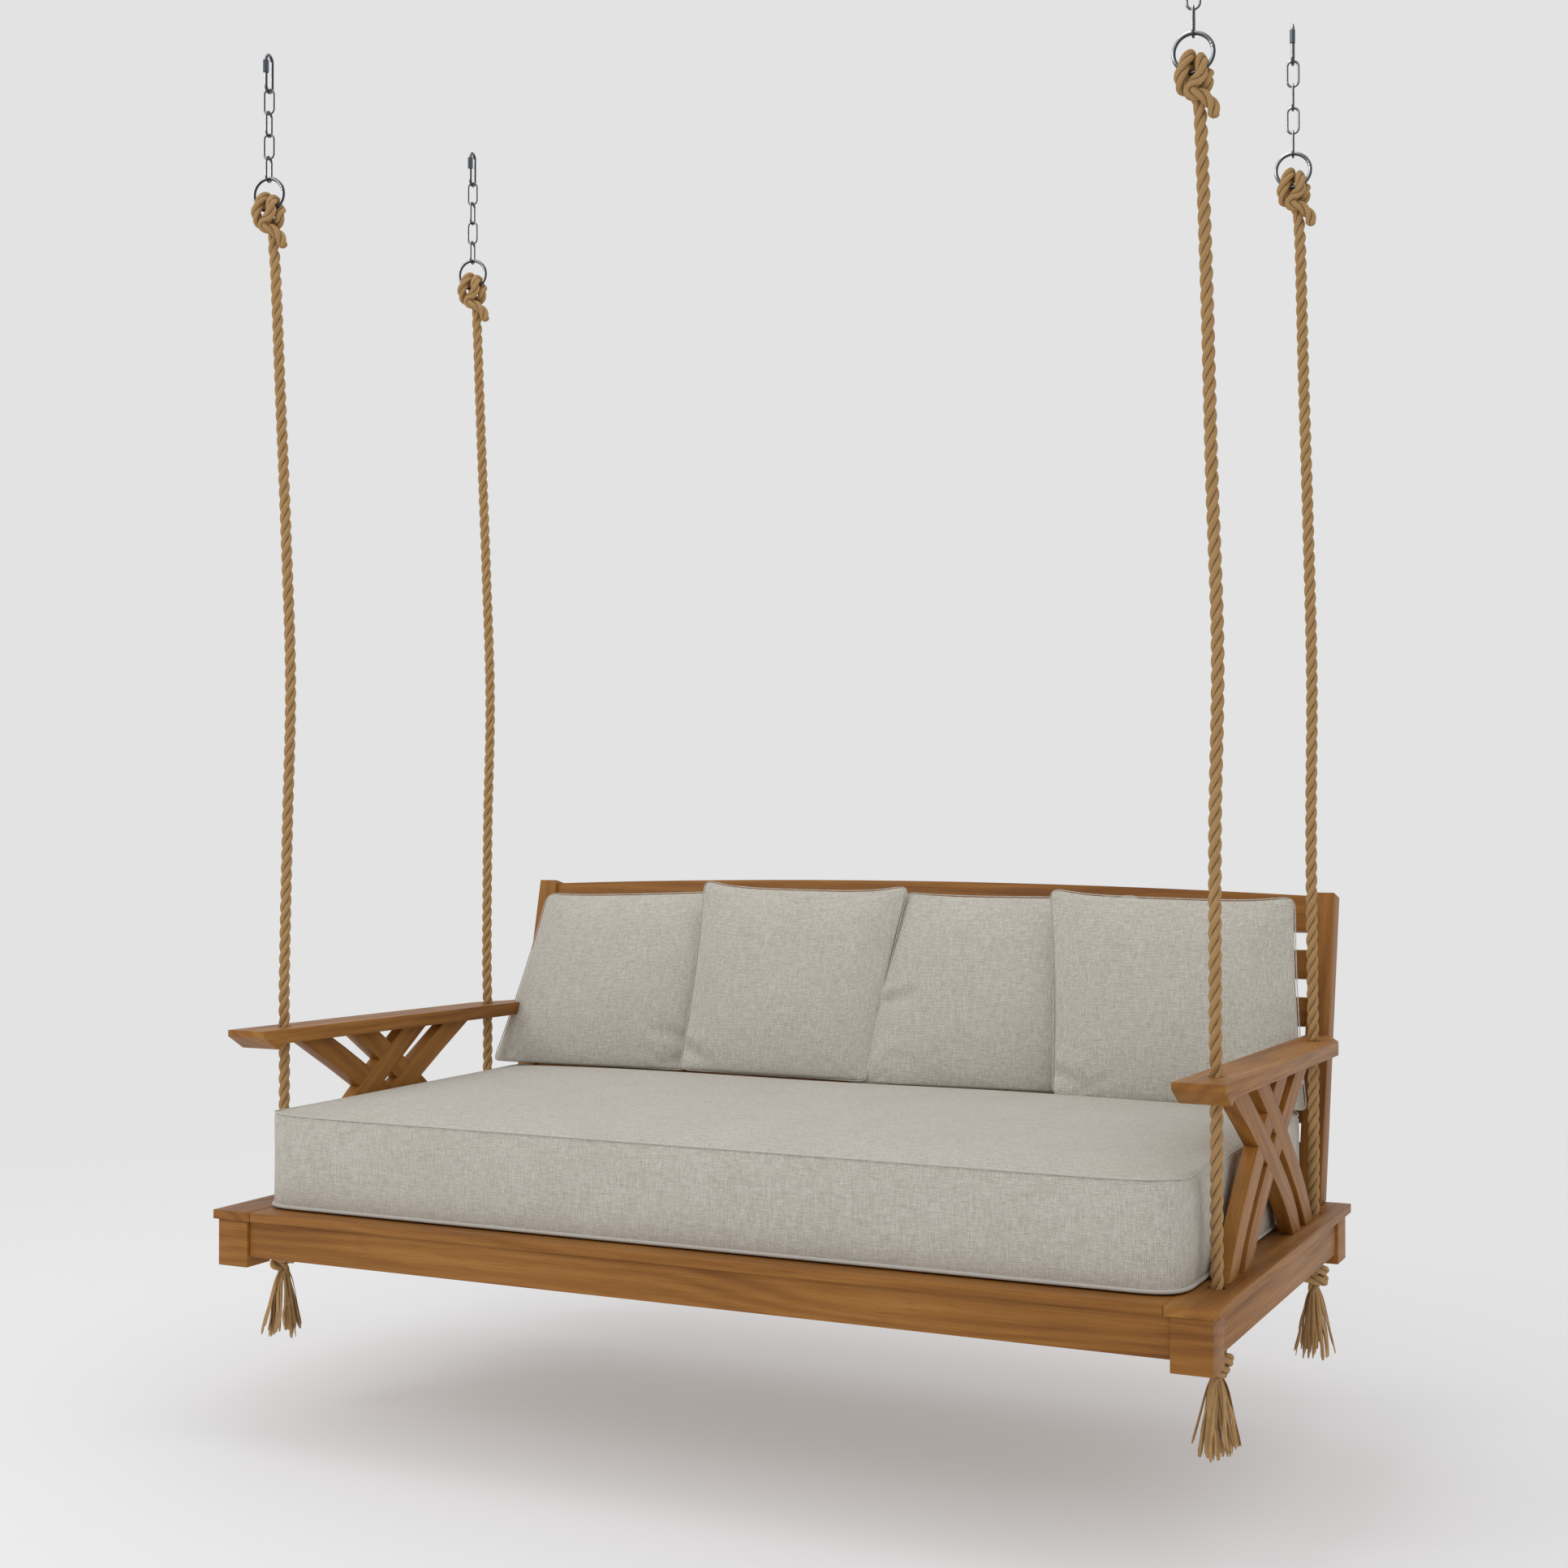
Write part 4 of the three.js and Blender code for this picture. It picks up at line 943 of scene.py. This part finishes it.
def seat_cushion(material, piping):
    """The box cushion: a welted bottom edge, a plain top seam, and a crown between them."""
    low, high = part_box("seat_cushion")
    size = np.array(high - low)
    counts = tuple(int(round(s / CUSHION_CELL)) for s in size)
    lattice, faces = lattice_shell(counts)
    share = lattice / np.array(counts) * 2 - 1
    on_top = lattice[:, 2] == counts[2]
    on_bottom = lattice[:, 2] == 0
    rim = ((lattice[:, 0] % counts[0]) == 0) | ((lattice[:, 1] % counts[1]) == 0)
    half = size[:2] / 2 - SEAM_INSET
    flat = round_plan(share[:, :2] * half, half, CUSHION_CORNER)
    z = (share[:, 2] + 1) / 2 * size[2]
    crown = (1 - share[:, 0] ** 8) * (1 - share[:, 1] ** 8) * on_top
    z += CUSHION_FULLNESS * crown
    middle = (low + high) / 2
    vertices = np.column_stack([flat, z - size[2] / 2])
    piece = add_piece("box_cushion", vertices, faces, material, place=Matrix.Translation(middle))
    pinned = np.zeros(len(vertices))
    pinned[on_bottom] = 1.0
    pinned[on_top & rim] = RIM_HOLD
    # the crown is pressed down behind the line on which the pillows stand
    pillow_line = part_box("pillow_2")[0].y - middle.y
    behind = np.clip((vertices[:, 1] - pillow_line - PRESSED_FROM) / PRESSED_OVER, 0, 1)
    caps = np.where(on_top, CUSHION_CROWN * (1 - PRESSED_SHARE * behind), CUSHION_SIDE_BULGE)
    settled = blow_up(piece, pinned, pressure=5.0, caps=caps, stiffness=12.0, bending=4.0)
    # a filled cushion is never quite even: slow swells over its faces
    x, y = settled[:, 0], settled[:, 1]
    swell = np.sin(3.1 * x + 0.6) * np.cos(4.3 * y - 0.4) + 0.5 * np.sin(7.3 * x - 2.1 * y)
    edge = np.clip((1 - np.abs(share[:, :2]).max(1)) * 6, 0, 1)
    settled[:, 2] += np.where(on_top, swell * SWELL * edge * (1 - behind), 0)
    front = ~(on_top | on_bottom) & (lattice[:, 1] == 0)
    face_wave = np.sin(5.2 * x + 1.0) * np.sin(math.pi * (share[:, 2] + 1) / 2)
    settled[:, 1] -= np.where(front, FACE_WAVE * face_wave, 0)
    # the top seam dips a little between the corners, which stand up as small ears
    ear = np.abs(share[:, 0]) ** 14 * np.abs(share[:, 1]) ** 14
    settled[:, 2] += np.where(on_top & rim, CORNER_EAR * ear, 0)
    set_points(piece, settled)
    one_subdivision(piece)
    declare(piece, "seat", "seat_cushion")
    for name, (high_up, radius, outward, lift) in CUSHION_SEAMS.items():
        line = settled[grid_rim(lattice, *counts[:2], counts[2] if high_up else 0)].copy()
        line[:, :2] += line[:, :2] / np.linalg.norm(line[:, :2], axis=1)[:, None] * outward
        line[:, 2] += lift
        seam_tube(name, smooth_loop(line + np.array(middle), SEAM_STEP), radius, piping)


def smooth_loop(line, step):
    """A closed loop eased and cut into even steps."""
    for _ in range(3):
        line = (np.roll(line, 1, 0) + 2 * line + np.roll(line, -1, 0)) / 4
    return cut_evenly(np.vstack([line, line[:1]]), step, closed=True)


# ---- pillows

PILLOW_THICKNESS = 0.104  # before it is blown up
PILLOW_LEAN = math.radians(20)
PILLOW_CELLS = (50, 44)
PILLOW_CAP = 20 * MM
PILLOW_CORNER = 0.10  # radius, as a share of half the pillow
PILLOW_SAG = 16 * MM  # of the belly over the bottom edge
PILLOW_REST = 13 * MM  # above the cushion's seam, on its crown
PILLOW_PRESS = 7 * MM  # the height over which the bottom is pressed flat
PILLOW_SEAM = 1.2 * MM
EDGE_CROWDING = 0.35
SIDE_PULL = 7 * MM
SINKING = 0.16  # of the fullest height, as a share of half the pillow
EDGE_ROUNDNESS = 0.52
BELLY_RUN = 0.4
# A fold's ridge: its height to the valley's depth, and its distance in the fold's widths.
RIDGE = 0.55
RIDGE_AT = 1.5
FOLD_REACH = 2.2
FOLD_SHEET = 12 * MM  # in front of the seam, where a fold reaches its full depth

# Each pillow: its turn in degrees, how far its top edge sags, its corners from its middle, across
# and up (bottom left, bottom right, top right, top left), and its folds. A fold is its start and
# end as shares of the half width and half height, its depth and its width. Lengths in millimetres.
PILLOWS = {
    "pillow_1": (0, 9, ((-340, -242), (215, -232), (305, 230), (-274, 208)), [
        ((0.82, -0.72), (0.30, -0.60), 16, 14),
        ((0.76, -0.90), (0.44, -0.98), 9, 13),
        ((-0.95, -0.70), (-0.70, -0.55), 4, 16)]),
    "pillow_2": (3, 20, ((-266, -222), (213, -228), (256, 246), (-275, 253)), [
        ((-0.98, -0.72), (-0.68, -0.88), 14, 14),
        ((-0.55, -0.99), (-0.30, -0.90), 4, 14),
        ((0.95, -0.35), (0.75, -0.30), 5, 18)]),
    "pillow_3": (3, 10, ((-388, -240), (210, -236), (271, 230), (-301, 229)), [
        ((-1.0, -0.18), (-0.70, -0.12), 16, 14),
        ((-0.9, -0.75), (-0.65, -0.85), 5, 14),
        ((0.9, -0.8), (0.6, -0.9), 4, 16)]),
    "pillow_4": (5, 16, ((-246, -232), (300, -250), (254, 235), (-291, 247)), [
        ((-0.90, -0.72), (-0.56, -0.90), 14, 14),
        ((0.97, -0.60), (0.72, -0.52), 5, 16),
        ((0.9, -0.9), (0.7, -0.75), 5, 14)]),
}


def pillow_sheets():
    """Two grids that share their edge: places, shares of the half size, which sheet, and quads."""
    nx, nz = PILLOW_CELLS
    index = {}
    faces = []

    def at(i, k, front):
        edge = i in (0, nx) or k in (0, nz)
        return index.setdefault((i, k, 0 if edge else front), len(index))

    for i in range(nx):
        for k in range(nz):
            for front in (1, -1):
                quad = [at(i, k, front), at(i + 1, k, front), at(i + 1, k + 1, front),
                        at(i, k + 1, front)]
                faces.append(quad if front > 0 else quad[::-1])
    points = np.array(list(index))
    shares = points[:, :2] / np.array(PILLOW_CELLS) * 2 - 1
    return points, shares, points[:, 2], faces


def press_fold(points, start, end, depth, width):
    """Presses a fold into the front sheet: a valley with a ridge beside it, fading as it runs."""
    run = end - start
    flat = points[:, (0, 2)] - start
    share = np.clip(flat @ run / (run @ run), 0, 1)
    off = flat - share[:, None] * run
    distance = np.linalg.norm(off, axis=1) / width
    side = (off @ np.array((-run[1], run[0]))) / np.linalg.norm(run) / width
    profile = -np.exp(-(distance**2)) + RIDGE * np.exp(-((side - RIDGE_AT) ** 2) - share * 0.5)
    profile *= np.exp(-np.maximum(distance - FOLD_REACH, 0) ** 2)
    front = np.clip(-points[:, 1] / FOLD_SHEET, 0, 1)
    points[:, 1] -= depth * profile * (1 - share) ** 0.8 * front


def pillow(name, material):
    turn, sag, corners, folds = PILLOWS[name]
    points, shares, sheet, faces = pillow_sheets()
    # cells crowd towards the edge, where the cover curves most, and the corners are round
    eased = np.sin(shares * math.pi / 2) * EDGE_CROWDING + shares * (1 - EDGE_CROWDING)
    across, up = round_plan(eased, np.ones(2), PILLOW_CORNER).T
    right, top = (across + 1) / 2, (up + 1) / 2
    corners = np.array(corners) * MM
    shares_of_corners = ((1 - right) * (1 - top), right * (1 - top), right * top, (1 - right) * top)
    flat = sum(np.outer(part, corner) for part, corner in zip(shares_of_corners, corners))
    x = flat[:, 0] - across * SIDE_PULL * (1 - up**2)
    z = flat[:, 1] - np.maximum(up, 0) * sag * MM * (1 - across**4)
    # fuller below the middle, as the filling sinks, with a belly over the bottom edge
    sunk = up + SINKING * (1 - up**2)
    inside = np.clip((1 - across**2) * (1 - sunk**2), 0, 1)
    y = -sheet * PILLOW_THICKNESS / 2 * inside**EDGE_ROUNDNESS
    z -= PILLOW_SAG * np.exp(-(((up + 1) / BELLY_RUN) ** 2)) * np.clip(inside * 8, 0, 1)
    box_low, box_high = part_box(name)
    place = (Matrix.Translation((box_low + box_high) / 2)
             @ Matrix.Rotation(math.radians(turn), 4, "Z")
             @ Matrix.Rotation(-PILLOW_LEAN, 4, "X"))
    piece = add_piece(name + "_cover", np.column_stack([x, y, z]), faces, material, place=place)
    caps = np.full(len(points), PILLOW_CAP)
    pinned = np.where(sheet == 0, 1.0, 0.0)
    settled = blow_up(piece, pinned, pressure=4.0, caps=caps, stiffness=9.0, bending=0.6)
    half = np.abs(corners).mean(0)
    for start, end, depth, width in folds:
        press_fold(settled, np.array(start) * half, np.array(end) * half, depth * MM, width * MM)
    set_points(piece, settled)
    rest_on_cushion(piece)
    one_subdivision(piece)
    declare(piece, "seat", name)
    edge = grid_rim(points, *PILLOW_CELLS, 0)
    placed = np.array([piece.matrix_world @ piece.data.vertices[i].co for i in edge])
    seam_tube(name + "_seam", smooth_loop(placed, SEAM_STEP), PILLOW_SEAM, material)


def rest_on_cushion(piece):
    """Presses the low part of a pillow flat on the cushion's top."""
    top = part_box("seat_cushion")[1].z + PILLOW_REST
    matrix = np.array(piece.matrix_world)
    world = get_points(piece.data) @ matrix[:3, :3].T + matrix[:3, 3]
    low = np.minimum(world[:, 2] - top - PILLOW_PRESS, 0)
    world[:, 2] = np.where(low < 0, top + PILLOW_PRESS * np.exp(low / PILLOW_PRESS), world[:, 2])
    inverse = np.linalg.inv(matrix)
    set_points(piece, world @ inverse[:3, :3].T + inverse[:3, 3])


# ---- studio

BACKGROUND = (0.768, 0.768, 0.768)
FLOOR_DROP = 0.46  # below the deck's top
FLOOR_RADIUS = 9.0
FLOOR_FADE = (2.0, 5.5)  # from its middle, where it thins out
# part of the floor's grey is its own light, as if lit from under, which keeps the shadow pale
FLOOR_SHADED = (0.66, 0.66, 0.67)
FLOOR_GLOW = (0.225, 0.225, 0.225)
FLOOR_SIDES = 96
# Each light: its name, place, size and power.
LIGHTS = (
    ("key", (-3.2, -4.0, 0.6), 2.6, 44.0),
    ("fill", (2.6, -4.4, -0.4), 2.6, 6.0),
    ("top", (-0.2, 0.0, 2.6), 1.8, 26.0),
)
AIM_HEIGHT = 0.2  # over the deck's top


def studio():
    world = bpy.data.worlds.new("studio")
    bpy.context.scene.world = world
    world.use_nodes = True
    background = world.node_tree.nodes["Background"]
    background.inputs["Color"].default_value = (*BACKGROUND, 1)
    background.inputs["Strength"].default_value = 1.0
    bpy.context.scene.view_settings.view_transform = "Standard"
    n = Nodes("floor")
    far = n.add("ShaderNodeVectorMath", {0: n.place()}, operation="LENGTH")
    shown = n.span(far.outputs["Value"], FLOOR_FADE, (1.0, 0.0))
    n.finish(Base_Color=FLOOR_SHADED, Roughness=0.9, Specular_IOR_Level=0.1, Alpha=shown,
             Emission_Color=FLOOR_GLOW, Emission_Strength=1.0)
    turn = round_turns(FLOOR_SIDES)
    disc = np.stack([FLOOR_RADIUS * np.cos(turn), FLOOR_RADIUS * np.sin(turn), 0 * turn], 1)
    place = Matrix.Translation((0, 0, deck_top - FLOOR_DROP))
    floor = add_piece("floor", disc, [list(range(len(disc)))], n.material, place=place)
    aim = Vector((0, 0, deck_top + AIM_HEIGHT))
    for name, at, size, power in LIGHTS:
        data = put(bpy.data.lights.new(name, "AREA"), shape="DISK", size=size, energy=power)
        light = put(bpy.data.objects.new(name, data), location=at, rotation_mode="QUATERNION",
                    rotation_quaternion=(aim - Vector(at)).to_track_quat("-Z", "Y"))
        bpy.context.scene.collection.objects.link(light)


# ---- making it

hemp = rope_material()
yarn = tassel_material()
for number, corner in enumerate(CORNERS):
    upper_rope(corner, hemp)
    lower_rope(corner, number + 1, hemp, yarn)

steel_painted_reflections = steel_material("steel", (0.92, 0.95, 1.0), STEEL_PAINTED_REFLECTIONS, (0.12, 0.22))
nut_steel = steel_material("nut_steel", (0.78, 0.88, 1.0), NUT_PAINTED_REFLECTIONS, (0.25, 0.40))
for corner in CORNERS:
    rope_ring(corner, steel_painted_reflections)
    chain(corner, steel_painted_reflections)
    quick_link(corner, steel_painted_reflections)
    quick_nut(corner, nut_steel)

finish_wood()

linen = linen_material()
seat_cushion(linen, piping_material())
for pillow_name in PILLOWS:
    pillow(pillow_name, linen)

studio()
